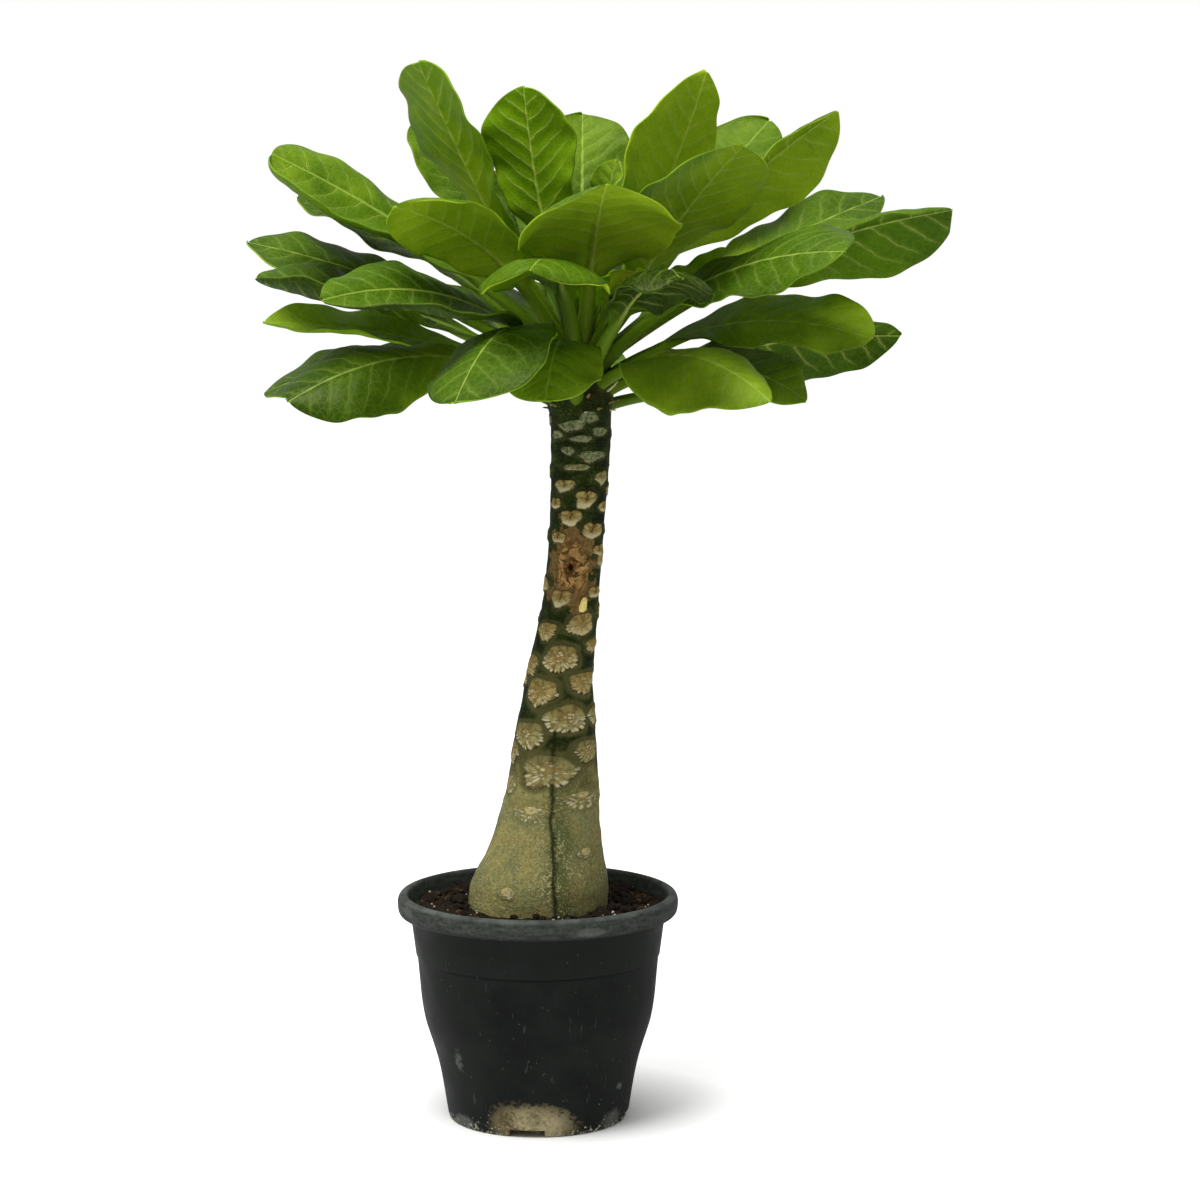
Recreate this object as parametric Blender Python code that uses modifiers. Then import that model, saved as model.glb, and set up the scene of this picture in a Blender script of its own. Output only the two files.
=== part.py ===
"""A potted Hawaiian palm (Brighamia insignis): a swollen stem with leaf scars, a head of
large obovate leaves, and the round nursery pot that it grows in.

Lengths below are in millimetres and angles in degrees. The origin is the middle of the
pot's base, +Z is up and the side that faces -Y is the front.
"""

import math
from typing import NamedTuple

import bmesh
import bpy
import numpy as np

MM = 0.001
GAP = 0.3

# Pot
RIM_DIAMETER = 170
POT_HEIGHT = 138
FOOT_DIAMETER = 102
WALL = 1.6
FLOOR = 2.2
RIM_LIP = 12.5
RIM_OVERHANG = 7.4
POT_STEPS = 36
# Outer wall below the rim as (height, radius), from the rim's lower edge to the foot
WALL_CURVE = (
    (124, 76.8), (117, 75.4), (101, 73.4), (99, 72.5), (74, 69.2),
    (48, 63.2), (28, 58.2), (12, 55.2), (3.5, 53.6),
)
# Notches in the foot's edge, and the drain holes through the floor
NOTCH_WIDTH = 21
NOTCH_REACH = (45, 63)
NOTCH_HEIGHT = 3.6
NOTCH_TURNS = (-96, -6, 84, 174)
DRAIN_HOLES = 8
DRAIN_DIAMETER = 8
DRAIN_CIRCLE = 33

# Soil
SOIL_TOP = 130
SOIL_RELIEF = 1.2
SOIL_RINGS = (48, 55, 62, 68)

# Stem as (height, offset to the right, radius), from its foot in the soil to its growing tip
PEG_FOOT = 100
PEG_RADIUS = 42
STEM_CURVE = (
    (131, 0, 42), (138, 0, 42.4), (148, 0.8, 41), (163, 4.2, 35), (179, 6.2, 31.4), (194, 7.8, 29),
    (209, 9, 27.3), (225, 10, 25.5), (240, 10.6, 23.6), (255, 11.6, 21.8), (270, 13, 20),
    (285, 15.6, 18.6), (301, 18, 17.2), (316, 20, 16.6), (331, 21.6, 16.3), (346, 23, 16.2),
    (361, 24.1, 16.4), (376, 25, 16.6), (391, 25.8, 16.8), (406, 26.2, 17.3), (421, 26.4, 18),
    (436, 26.5, 18.5), (450, 26.5, 17.5), (465, 26.5, 15.5), (478, 26.5, 12), (484, 26.5, 6),
)
STEM_SIDES = 36

# Leaf scars on the front of the stem as (height, turn to the right, width, height of the scar)
FRONT_SCARS = (
    (427, 17, 11, 7), (422, -13, 14, 7), (418, 41, 11, 6), (416, -50, 8, 5), (414, 0, 13, 5),
    (407, -26, 9, 5), (404, 23, 15, 7), (397, -9, 16, 5), (391, 48, 12, 7), (386, -34, 13, 8),
    (378, 15, 13, 11), (375, -54, 10, 7), (373, 62, 10, 7), (367, -14, 13, 10), (359, 35, 15, 10),
    (355, -40, 11, 7), (347, 59, 12, 7), (319, -21, 13, 11), (322, 54, 12, 7), (303, 28, 16, 14),
    (299, -42, 14, 11), (290, 65, 14, 8), (283, -3, 20, 16), (278, -68, 15, 12), (268, 46, 20, 13),
    (263, -29, 20, 16), (247, 18, 27, 16), (237, -44, 24, 15), (227, 54, 20, 14), (216, -5, 33, 19),
    (208, -66, 14, 12), (200, 43, 30, 13), (192, -22, 26, 12), (167, 45, 12, 7), (145, -27, 11, 8),
)
SCAR_RISE = 0.9
# An old wound on the front: height, turn, width and height of the raised ring round its hole
WOUND = (336, -4, 21, 27)
WOUND_RING_RISE = 1.4
WOUND_HOLE_DEPTH = 2.5
# Scars round the rest of the stem follow the leaves' spiral
GOLDEN_ANGLE = 137.5
FRONT_HALF_ANGLE = 78
SPIRAL_TOP = 428
SPIRAL_END = 165

# Leaves
STALK_HALF_WIDTH = 4.4
STALK_THICKNESS = 5.5
BLADE_THICKNESS = 1.8
MARGIN_THICKNESS = 0.8
STALK_ROWS = 2
BLADE_ROWS = 8
BLADE_COLUMNS = 4
MARGIN_WAVE = 2.5
WAVES_PER_BLADE = 2.3
WAVE_PHASE_STEP = 0.31


class Leaf(NamedTuple):
    """One leaf. Left and right are seen from the stem, looking outwards with the upper face up."""

    tip: tuple  # where the tip is
    level: float  # height of the leaf's root on the stem
    arch: float  # rise of the midrib above the straight line from root to tip
    width: float  # widest part of the blade, before it is cupped
    roll: float = 0  # turn about the midrib, with the left half raised
    cup: tuple = (0, 0)  # how far the left and right halves curl up, or down when negative
    halves: tuple = (1, 1)  # size of the left and right halves
    stalk: float = 0.3  # share of the length that is stalk
    point: float = 0.6  # low for a blunt end, high for a pointed one
    base: float = 1.2  # low for a blade that widens near its stalk
    hook: float = 0  # drop of the last quarter
    turn: float = None  # direction in which the root leaves the stem, if not the tip's


LEAVES = (
    # Left side, upper tiers
    Leaf((-154, -21, 581), 470.3, 7, 70, -56, (80, -40), (1.45, 0.7), 0.3, 0.42),
    Leaf((-144, 41, 557), 464.5, 9, 52, -14, (10, -5)),
    Leaf((-172, 12, 529), 457.8, 9, 64, -28, (25, -20)),
    Leaf((-161, -47, 509), 451.8, 9, 72, -40, (90, -20), (1.2, 0.7), 0.28),
    Leaf((-117, -122, 499), 456.2, 22, 76, -45, (70, -30), (1.45, 0.75), 0.2, 0.7, 0.8),
    # Left side, low tiers
    Leaf((-162, 3, 482), 445.4, 9, 54, -32, (60, 0), (0.8, 0.8), 0.22),
    Leaf((-166, 37, 438), 438, 20, 60, -25, (5, -5), (1, 1), 0.25),
    Leaf((-140, -80, 440), 440, 24, 70, -35, (-35, -45), (1, 1), 0.25),
    # Front, drooping towards the viewer
    Leaf((-42, -150, 444), 450, 36, 78, 5, (-5, -35), (1.1, 0.85), 0.25, 0.45),
    Leaf((7, -118, 443), 441.5, 32, 58, 0, (-15, -15), (1, 1), 0.25, 0.45),
    Leaf((0, -162, 517), 461, 28, 84, 0, (-50, -50)),
    Leaf((-77, -100, 551), 469, 16, 70, 42, (-60, -5), (1.05, 0.7), 0.3, 0.4, 0.8),
    # Erect leaves round the growing tip
    Leaf((-66, -45, 633), 476, -3, 70, 5, (-10, 10), (1, 1.5), 0.3, 0.45, 1.05),
    Leaf((-74, 62, 602), 472.3, 5, 44, -30, (10, 10)),
    Leaf((-6, -30, 619), 482, -4, 66, 10, (-10, -10)),
    Leaf((27, 67, 606), 481.2, 6, 60, 0, (10, 10)),
    Leaf((47, 6, 578), 482, 3, 30, 0, (30, 30), turn=33),
    Leaf((99, -30, 628), 481, -4, 82, -28, (-10, -10), (0.62, 0.95), 0.3, 0.85, 1.05),
    Leaf((141, 75, 602), 477.2, 3, 58, 30, (10, 10)),
    Leaf((176, -11, 606), 473.8, 9, 72, -50, (-5, -70), (1, 0.38), 0.3, 0.65),
    # Right side, upper tiers
    Leaf((118, -80, 585), 470, 7, 86, -10, (-10, -30), (0.9, 1.38), 0.3, 0.5, 1.05),
    Leaf((41, -146, 563), 471, 13, 100, 0, (-30, -50), (0.95, 1.05), 0.3, 0.5, 1.05),
    Leaf((240, -50, 549), 464.3, 14, 78, -45, (-5, -80), (1, 0.5), 0.3, 0.5),
    Leaf((209, 63, 556), 467.8, 6, 56, 20, (10, 10)),
    Leaf((173, -122, 526), 459.3, 18, 72, 40, (-40, -5), (1.3, 0.85), 0.3, 0.6, 0.95),
    Leaf((83, -150, 520), 455.5, 12, 62, -5, (-50, -50), (1, 1), 0.3, 0.4, hook=8),
    # Right side, low tiers
    Leaf((194, -60, 475), 453, 19, 62, 28, (0, 0), (1.1, 0.85), 0.22, 0.5, 0.95),
    Leaf((219, 34, 473), 449, 8, 72, -50, (-5, -20), (0.95, 0.5), 0.25, 0.75),
    Leaf((133, -110, 442), 449, 20, 76, 35, (-60, -20), (0.65, 1.05), 0.15, 0.8, 0.9),
    Leaf((158, -40, 438), 445, 18, 52, 30, (0, 0), (1, 0.9), 0.2, 0.8),
    Leaf((130, 80, 430), 434, 7, 56),
    Leaf((58, -78, 515), 464, 4, 20, 0, (20, 20), (1, 1), 0.35),
    # Back
    Leaf((-84, 150, 524), 464.3, 12, 72, 30, (20, 20), (1, 1), 0.22, 0.5, 1.0),
    Leaf((-91, 160, 488), 453, 18, 68, 14, (15, 20)),
    Leaf((-38, 180, 535), 470.8, 18, 72, -6, (20, 10)),
    Leaf((-14, 170, 464), 446, 24, 66, 0, (10, 15)),
    Leaf((38, 185, 517), 462, 20, 72, 0, (20, 20)),
    Leaf((86, 168, 494), 449, 22, 64, -28, (15, 5)),
    Leaf((120, 150, 542), 468.5, 14, 74, -18, (20, 20)),
    Leaf((146, 102, 518), 461.5, 11, 58, 5, (20, 15), (1, 1), 0.25),
    Leaf((-24, 115, 572), 477.5, 8, 44, 0, (15, 15)),
    Leaf((63, 130, 576), 474.8, 8, 54, 0, (15, 15)),
    Leaf((-60, 165, 432), 439, 26, 62, 0, (5, 5)),
    Leaf((24, 182, 432), 435.5, 22, 60, 0, (5, 5)),
)


def smooth_step(low, high, value):
    share = np.clip((value - low) / (high - low), 0, 1)
    return share * share * (3 - 2 * share)


def unit(vectors):
    return vectors / np.linalg.norm(vectors, axis=-1, keepdims=True)


def material(name, colour, roughness):
    made = bpy.data.materials.new(name)
    made.use_nodes = True
    shader = made.node_tree.nodes["Principled BSDF"]
    shader.inputs["Base Color"].default_value = (*colour, 1)
    shader.inputs["Roughness"].default_value = roughness
    shader.inputs["Metallic"].default_value = 0
    return made


def new_object(name, mesh, collection, surface):
    made = bpy.data.objects.new(name, mesh)
    made.data.materials.append(surface)
    collection.objects.link(made)
    return made


def turned(name, profile, steps, collection, surface):
    """A Screw of a profile of (radius, height) points, which runs down its outer side."""
    mesh = bpy.data.meshes.new(name)
    points = [(radius * MM, 0, height * MM) for radius, height in profile]
    mesh.from_pydata(points, [(i, i + 1) for i in range(len(points) - 1)], [])
    made = new_object(name, mesh, collection, surface)
    screw = made.modifiers.new("turn", "SCREW")
    screw.steps = steps
    screw.render_steps = steps
    screw.use_merge_vertices = True
    screw.merge_threshold = 0.00001
    return made


# Pot


def inner_wall():
    """The inside of the wall as (radius, height), from the floor up to the rim."""
    points = [(radius - WALL, height) for height, radius in reversed(WALL_CURVE)]
    return [point for point in points if point[1] > FLOOR + 1]


def pot_profile():
    rim = RIM_DIAMETER / 2
    skirt = POT_HEIGHT - RIM_LIP
    wall_top = WALL_CURVE[0][1]
    inside = [(0, FLOOR), (FOOT_DIAMETER / 2 - WALL, FLOOR), *inner_wall()]
    lip = [
        (wall_top + 1, POT_HEIGHT - 4),
        (wall_top + 2.2, POT_HEIGHT - 0.4),
        (wall_top + 3.4, POT_HEIGHT),
        (rim - 1.6, POT_HEIGHT - 0.8),
        (rim, POT_HEIGHT - 4.5),
        (rim, POT_HEIGHT - 7.5),
        (rim - 1.4, skirt + 0.8),
        (rim - 3, skirt),
        (rim - RIM_OVERHANG, skirt + 0.6),
    ]
    outside = [(radius, height) for height, radius in WALL_CURVE]
    return [*inside, *lip, *outside, (FOOT_DIAMETER / 2, 0), (0, 0)]


def pot_cutters(collection, surface):
    """Notches through the foot's edge and round holes through the floor."""
    for number, turn in enumerate(NOTCH_TURNS):
        angle = math.radians(turn)
        mesh = bpy.data.meshes.new(f"notch_cutter_{number}")
        bm = bmesh.new()
        bmesh.ops.create_cube(bm, size=1)
        inner, outer = NOTCH_REACH
        size = ((outer - inner) * MM, NOTCH_WIDTH * MM, 2 * NOTCH_HEIGHT * MM)
        bmesh.ops.scale(bm, vec=size, verts=bm.verts)
        bmesh.ops.translate(bm, vec=((inner + outer) / 2 * MM, 0, 0), verts=bm.verts)
        bm.to_mesh(mesh)
        bm.free()
        cutter = new_object(mesh.name, mesh, collection, surface)
        cutter.rotation_euler.z = angle
    for number in range(DRAIN_HOLES):
        angle = 2 * math.pi * (number + 0.5) / DRAIN_HOLES
        mesh = bpy.data.meshes.new(f"drain_cutter_{number}")
        bm = bmesh.new()
        radius = DRAIN_DIAMETER / 2 * MM
        bmesh.ops.create_cone(
            bm, cap_ends=True, segments=12, radius1=radius, radius2=radius, depth=4 * FLOOR * MM
        )
        bm.to_mesh(mesh)
        bm.free()
        cutter = new_object(mesh.name, mesh, collection, surface)
        cutter.location = (DRAIN_CIRCLE * math.cos(angle) * MM, DRAIN_CIRCLE * math.sin(angle) * MM, 0)
    for cutter in collection.objects:
        cutter.hide_render = True
        cutter.display_type = "WIRE"


def make_pot(parts, cutters):
    plastic = material("black nursery plastic", (0.021, 0.026, 0.027), 0.5)
    pot = turned("pot", pot_profile(), POT_STEPS, parts, plastic)
    pot_cutters(cutters, plastic)
    cut = pot.modifiers.new("notches and drain holes", "BOOLEAN")
    cut.operand_type = "COLLECTION"
    cut.collection = cutters
    cut.operation = "DIFFERENCE"
    return pot


# Soil


def soil_profile():
    hole = PEG_RADIUS + 2 * GAP
    foot = PEG_FOOT - GAP
    outer = [(radius - WALL - 2 * GAP, height) for height, radius in WALL_CURVE]
    outer = [point for point in outer if FLOOR + 1 < point[1] < SOIL_TOP - 5]
    edge = (WALL_CURVE[0][1] - WALL - 2 * GAP, SOIL_TOP - 1)
    surface = [(radius, SOIL_TOP) for radius in SOIL_RINGS]
    floor = FLOOR + GAP
    return [
        (0, foot),
        (hole, foot),
        (hole, SOIL_TOP),
        *surface,
        edge,
        *outer,
        (FOOT_DIAMETER / 2 - WALL - 2 * GAP, floor),
        (0, floor),
    ]


def make_soil(parts):
    """Potting soil, filling the pot, with a plain hole for the stem and an uneven top."""
    soil = material("dark potting soil", (0.035, 0.017, 0.009), 0.95)
    made = turned("soil", soil_profile(), POT_STEPS, parts, soil)
    graph = bpy.context.evaluated_depsgraph_get()
    mesh = bpy.data.meshes.new_from_object(made.evaluated_get(graph))
    made.modifiers.clear()
    made.data = mesh
    inner = SOIL_RINGS[0] * MM
    outer = SOIL_RINGS[-1] * MM
    for vertex in mesh.vertices:
        x, y, z = vertex.co
        radius = math.hypot(x, y)
        if z > (SOIL_TOP - 0.5) * MM and inner - 1e-4 < radius < outer + 1e-4:
            angle = math.atan2(y, x)
            wave = math.sin(5 * angle + 90 * radius) + math.sin(11 * angle - 170 * radius)
            vertex.co.z += SOIL_RELIEF / 2 * wave * MM
    return made


# Stem


def stem_at(height):
    heights, offsets, radii = np.array(STEM_CURVE).T
    return np.interp(height, heights, offsets), np.interp(height, heights, radii)


def spiral_scars():
    """Scars on the sides and the back, larger and further apart down the stem."""
    scars = []
    height = SPIRAL_TOP
    number = 0
    while height > SPIRAL_END:
        turn = (number * GOLDEN_ANGLE + 180) % 360 - 180
        age = (SPIRAL_TOP - height) / (SPIRAL_TOP - SPIRAL_END)
        if abs(turn) > FRONT_HALF_ANGLE:
            scars.append((height, turn, 11 + 15 * age, 7 + 8 * age))
        height -= 2 + 5 * age
        number += 1
    return scars


def scar_relief(angle, height, radius, scars):
    """Height of the raised pads over the bark, at a turn to the right of the front in radians."""
    rise = 0.0
    for level, turn, width, tall in scars:
        away = (angle - math.radians(turn) + math.pi) % (2 * math.pi) - math.pi
        reach = math.hypot(2 * away * radius / width, 2 * (height - level) / tall)
        rise = max(rise, SCAR_RISE * (1 - smooth_step(0.7, 1.25, reach)))
    level, turn, width, tall = WOUND
    reach = math.hypot(2 * (angle - math.radians(turn)) * radius / width, 2 * (height - level) / tall)
    ring = WOUND_RING_RISE * math.exp(-(((reach - 0.75) / 0.25) ** 2))
    hole = WOUND_HOLE_DEPTH * (1 - smooth_step(0.15, 0.5, reach))
    return rise + ring - hole if reach < 1.6 else rise


def stem_rings():
    swollen = np.linspace(131, 250, 13)[:-1]
    slim = np.linspace(250, 440, 32)[:-1]
    crown = np.linspace(440, 484, 7)
    return [PEG_FOOT, *swollen, *slim, *crown]


def make_stem(parts):
    bark = material("green bark with scars", (0.14, 0.12, 0.05), 0.75)
    rings = stem_rings()
    scars = [*FRONT_SCARS, *spiral_scars()]
    bm = bmesh.new()
    bmesh.ops.create_cone(bm, cap_ends=True, segments=STEM_SIDES, radius1=1, radius2=1, depth=1)
    sides = [edge for edge in bm.edges if abs(edge.verts[0].co.z - edge.verts[1].co.z) > 0.5]
    bmesh.ops.subdivide_edges(bm, edges=sides, cuts=len(rings) - 2)
    for vertex in bm.verts:
        x, y, z = vertex.co
        height = rings[round((z + 0.5) * (len(rings) - 1))]
        offset, radius = stem_at(height)
        if height > SOIL_TOP + 4:
            radius += scar_relief(math.atan2(x, -y), height, radius, scars)
        vertex.co = ((offset + radius * x) * MM, radius * y * MM, height * MM)
    mesh = bpy.data.meshes.new("stem")
    bm.to_mesh(mesh)
    bm.free()
    mesh.shade_smooth()
    return new_object("stem", mesh, parts, bark)


# Leaves


def leaf_rows(leaf):
    """Shares of the leaf's length at which it has a row of points, closer near the tip."""
    stalk = np.linspace(0, leaf.stalk, STALK_ROWS + 1)[:-1]
    steps = np.linspace(0, 1, BLADE_ROWS + 1)
    blade = 0.45 * steps + 0.55 * np.sin(math.pi / 2 * steps)
    return np.concatenate([stalk, leaf.stalk + (1 - leaf.stalk) * blade])


def half_widths(leaf, along, blade, across):
    """Half the leaf's width, by share of its length and share of its blade."""
    widest = leaf.base / (leaf.base + leaf.point)
    full = widest**leaf.base * (1 - widest) ** leaf.point
    outline = blade**leaf.base * (1 - blade) ** leaf.point / full
    half = np.where(across > 0, leaf.halves[0], leaf.halves[1])
    stalk = (STALK_HALF_WIDTH - smooth_step(0, 0.3, along)) * (1 - smooth_step(0.3, 0.75, along))
    return leaf.width / 2 * outline * half + stalk + 0.9 * smooth_step(0.6, 1, along)


def leaf_surface(leaf, phase, along, across):
    """Points of the upper face, for rows along the leaf and columns across it from -1 to 1."""
    along = np.asarray(along, float)[:, None]
    across = np.asarray(across, float)[None, :]
    offset, radius = stem_at(leaf.level)
    tip = np.array(leaf.tip, float)
    axis = np.array([offset, 0.0, leaf.level])
    turn = math.atan2(tip[1], tip[0] - offset) if leaf.turn is None else math.radians(leaf.turn)
    out = np.array([math.cos(turn), math.sin(turn), 0.0])
    left = np.array([-out[1], out[0], 0.0])
    root = axis + out * (radius + GAP)
    # The midrib is a curve of the second degree, and each row has its own left and up
    above = unit(np.cross(tip - root, left))
    middle = (root + tip) / 2 + 2 * leaf.arch * above
    s = along[..., None]
    midrib = (1 - s) ** 2 * root + 2 * s * (1 - s) * middle + s**2 * tip
    ahead = unit((1 - s) * (middle - root) + s * (tip - middle))
    level = unit(left - ahead * (ahead @ left)[..., None])
    above = np.cross(ahead, level)
    roll = math.radians(leaf.roll) * smooth_step(0.05, 0.5, s)
    side = np.cos(roll) * level + np.sin(roll) * above
    up = np.cos(roll) * above - np.sin(roll) * level
    # Each half of the blade curls as an arc, and its margin waves
    blade = np.clip((along - leaf.stalk) / (1 - leaf.stalk), 0, 1)
    spread = smooth_step(0.02, 0.35, blade)
    half = half_widths(leaf, along, blade, across)
    curl = np.radians(np.where(across > 0, leaf.cup[0], leaf.cup[1])) * spread
    curl = curl + 0.35 * (1 - spread) + 1e-6
    bend = curl * np.abs(across)
    sideways = np.sign(across) * half * np.sin(bend) / curl
    lift = half * (1 - np.cos(bend)) / curl
    beat = WAVES_PER_BLADE * blade + phase + np.where(across > 0, 0, 0.37)
    wave = MARGIN_WAVE * spread * np.abs(across) ** 1.5 * np.sin(2 * math.pi * beat)
    wave = wave * (1 - 0.5 * smooth_step(0.85, 1, blade))
    lift = lift + wave - leaf.hook * smooth_step(0.75, 1, blade) ** 2
    return midrib + sideways[..., None] * side + lift[..., None] * up


def leaf_thickness(along, across):
    """Thick along the stalk, thinner along the midrib and thinnest at the margin."""
    stalk = (STALK_THICKNESS - MARGIN_THICKNESS) * (1 - smooth_step(0, 0.55, along))
    rib = BLADE_THICKNESS * smooth_step(0, 0.5, along) * (1 - smooth_step(0.5, 1, along))
    edge = MARGIN_THICKNESS + 2.2 * (1 - smooth_step(0, 0.35, along))
    middle = max(stalk + rib + MARGIN_THICKNESS, edge)
    return edge + (middle - edge) * (1 - abs(across)) ** 1.3


def make_leaf(number, leaf, parts, surface):
    """A flat grid bent into the leaf's upper face, then given its thickness downwards."""
    name = f"leaf_{number:02d}"
    rows = leaf_rows(leaf)
    columns = np.linspace(-1, 1, BLADE_COLUMNS + 1)
    points = leaf_surface(leaf, WAVE_PHASE_STEP * number, rows, columns)
    bm = bmesh.new()
    bmesh.ops.create_grid(bm, x_segments=len(rows) - 1, y_segments=BLADE_COLUMNS, size=1)
    weights = []
    for vertex in bm.verts:
        row = round((vertex.co.x + 1) / 2 * (len(rows) - 1))
        column = round((vertex.co.y + 1) / 2 * BLADE_COLUMNS)
        vertex.co = points[row, column] * MM
        weights.append(leaf_thickness(rows[row], columns[column]) / STALK_THICKNESS)
    bmesh.ops.triangulate(bm, faces=bm.faces)
    mesh = bpy.data.meshes.new(name)
    bm.to_mesh(mesh)
    bm.free()
    mesh.shade_smooth()
    made = new_object(name, mesh, parts, surface)
    group = made.vertex_groups.new(name="thickness")
    for index, weight in enumerate(weights):
        group.add([index], weight, "REPLACE")
    solid = made.modifiers.new("thickness", "SOLIDIFY")
    solid.thickness = STALK_THICKNESS * MM
    solid.offset = -1
    solid.vertex_group = group.name
    return made


def main():
    for item in list(bpy.data.objects):
        bpy.data.objects.remove(item)
    parts = bpy.data.collections.new("potted_hawaiian_palm")
    cutters = bpy.data.collections.new("cutters")
    bpy.context.scene.collection.children.link(parts)
    bpy.context.scene.collection.children.link(cutters)
    make_pot(parts, cutters)
    make_soil(parts)
    make_stem(parts)
    green = material("leaf", (0.115, 0.275, 0.024), 0.42)
    for number, leaf in enumerate(LEAVES, 1):
        make_leaf(number, leaf, parts, green)


main()
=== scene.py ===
"""The potted Hawaiian palm (Brighamia insignis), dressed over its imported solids.

Lengths below are in millimetres and angles in degrees, unless a name says otherwise. The
origin is the middle of the pot's base, +Z is up and the side that faces -Y is the front.
"""

import math
from functools import partial
from typing import NamedTuple

import bmesh
import bpy
import numpy as np
from mathutils import Matrix, Vector


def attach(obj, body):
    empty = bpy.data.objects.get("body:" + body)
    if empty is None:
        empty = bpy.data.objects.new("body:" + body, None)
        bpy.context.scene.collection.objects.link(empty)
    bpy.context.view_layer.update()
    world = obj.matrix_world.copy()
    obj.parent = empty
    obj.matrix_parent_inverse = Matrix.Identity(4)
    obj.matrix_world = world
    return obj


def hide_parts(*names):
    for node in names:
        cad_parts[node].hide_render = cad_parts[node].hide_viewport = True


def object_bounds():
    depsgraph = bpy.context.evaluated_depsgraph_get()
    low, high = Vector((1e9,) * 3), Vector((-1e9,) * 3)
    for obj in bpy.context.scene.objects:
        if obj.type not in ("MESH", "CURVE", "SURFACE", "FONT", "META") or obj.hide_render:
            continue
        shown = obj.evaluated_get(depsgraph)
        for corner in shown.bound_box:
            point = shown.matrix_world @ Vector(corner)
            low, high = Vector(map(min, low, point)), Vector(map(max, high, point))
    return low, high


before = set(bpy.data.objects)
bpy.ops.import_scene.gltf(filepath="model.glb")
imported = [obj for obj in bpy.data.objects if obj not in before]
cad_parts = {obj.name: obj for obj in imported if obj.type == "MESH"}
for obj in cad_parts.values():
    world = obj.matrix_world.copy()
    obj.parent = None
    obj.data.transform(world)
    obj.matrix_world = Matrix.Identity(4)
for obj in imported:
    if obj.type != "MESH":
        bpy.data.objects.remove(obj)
SOLID_BOX = [list(corner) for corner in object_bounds()]
BODY = "root"
MM = 0.001
GAP = 0.3
BOX_ROOM = 0.02

# Camera: it was fitted to the pot's rim, foot and step in the photo
CAMERA_PLACE = (37.6, -1968, 559.2)
CAMERA_PITCH = 82.96
LENS = 99.2

# Pot
RIM_DIAMETER = 170
POT_HEIGHT = 138
FOOT_DIAMETER = 102
STEP_LEDGE = 101
WALL = 1.6
FLOOR = 2.2
RIM_LIP = 12.5
RIM_OVERHANG = 7.4
# Heights over which the rim's wear sets in, and over which the painted highlight along its top does
RIM_BAND = (125, 129)
RIM_CREST = (135.2, 137.2)
POT_COLUMNS = 160
# Outer wall below the rim as (height, radius), from the rim's lower edge to the foot
WALL_CURVE = (
    (124, 77.2), (117, 76.1), (101, 74), (99, 73.1), (86, 71.9), (74, 70.9), (62, 69),
    (54, 66.6), (46, 63.9), (37, 61.2), (28, 59.2), (18, 57.4), (10, 56.2), (4, 55.2),
)
NOTCH_WIDTH = 21
NOTCH_REACH = (46, 64)
NOTCH_HEIGHT = 4.6
NOTCH_TURNS = (-96, -6, 84, 174)
DRAIN_HOLES = 8
DRAIN_DIAMETER = 8
DRAIN_CIRCLE = 33
# Edges of the pot that turn by more than this look sharp
SHARP_EDGE = 38

# Soil
SOIL_TOP = 130
SOIL_COLUMNS = 200
SOIL_ROWS = 34
STEM_HOLE_RADIUS = 40.5
# Lumps of its top as (how high, how wide, seed), and the radii over which they set in and settle
SOIL_LUMPS = ((1.5, 24, 11), (0.9, 7, 12), (0.5, 3.2, 13))
LUMPS_START = (41, 44)
LUMPS_SETTLE = (72, 75)
# Loose crumbs lie between these radii, and this share of them is bark and coir
CRUMBS = 520
PERLITE_GRAINS = 70
CRUMB_RADII = (43.5, 74)
CRUMB_LUMPS = 0.16
FIBRE_SHARE = 0.28

# Stem: a plain peg in the soil, then the living part, which ends in a small dome
PEG_FOOT = 100
PEG_TOP = 128
STEM_TOP = 484
TIP_DOME = 6
# Its shape as (height, offset to the right, radius), from the soil to the growing tip
STEM_CURVE = (
    (131, 0, 42), (138, 0, 42.4), (148, 0.8, 41), (163, 4.2, 35), (179, 6.2, 31.4), (194, 7.8, 29),
    (209, 9, 27.3), (225, 10, 25.5), (240, 10.6, 23.6), (255, 11.6, 21.8), (270, 13, 20),
    (285, 15.6, 18.6), (301, 18, 17.2), (316, 20, 16.6), (331, 21.6, 16.3), (346, 23, 16.2),
    (361, 24.1, 16.4), (376, 25, 16.6), (391, 25.8, 16.8), (406, 26.2, 17.3), (421, 26.4, 18),
    (436, 26.5, 18.5), (450, 26.5, 17.5), (465, 26.5, 15.5), (478, 26.5, 12), (484, 26.5, 6),
)

# Leaf scars on the front of the stem as (height, turn to the right, width, height of the scar)
FRONT_SCARS = (
    (427, 17, 11, 7), (422, -13, 14, 7), (418, 41, 11, 6), (416, -50, 8, 5), (414, 0, 13, 5),
    (407, -26, 9, 5), (404, 23, 15, 7), (397, -9, 16, 5), (391, 48, 12, 7), (386, -34, 13, 8),
    (378, 15, 13, 11), (375, -54, 10, 7), (373, 62, 10, 7), (367, -14, 13, 10), (359, 35, 15, 10),
    (355, -40, 11, 7), (347, 59, 12, 7), (319, -21, 13, 11), (322, 54, 12, 7), (303, 28, 16, 14),
    (299, -42, 14, 11), (290, 65, 14, 8), (283, -3, 20, 16), (278, -68, 15, 12), (268, 46, 20, 13),
    (263, -29, 20, 16), (247, 18, 27, 16), (237, -44, 24, 15), (227, 54, 20, 14), (216, -5, 33, 19),
    (208, -66, 14, 12), (200, 43, 30, 13), (192, -22, 26, 12), (167, 45, 12, 7), (145, -27, 11, 8),
)
SCAR_RISE = 0.9
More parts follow.
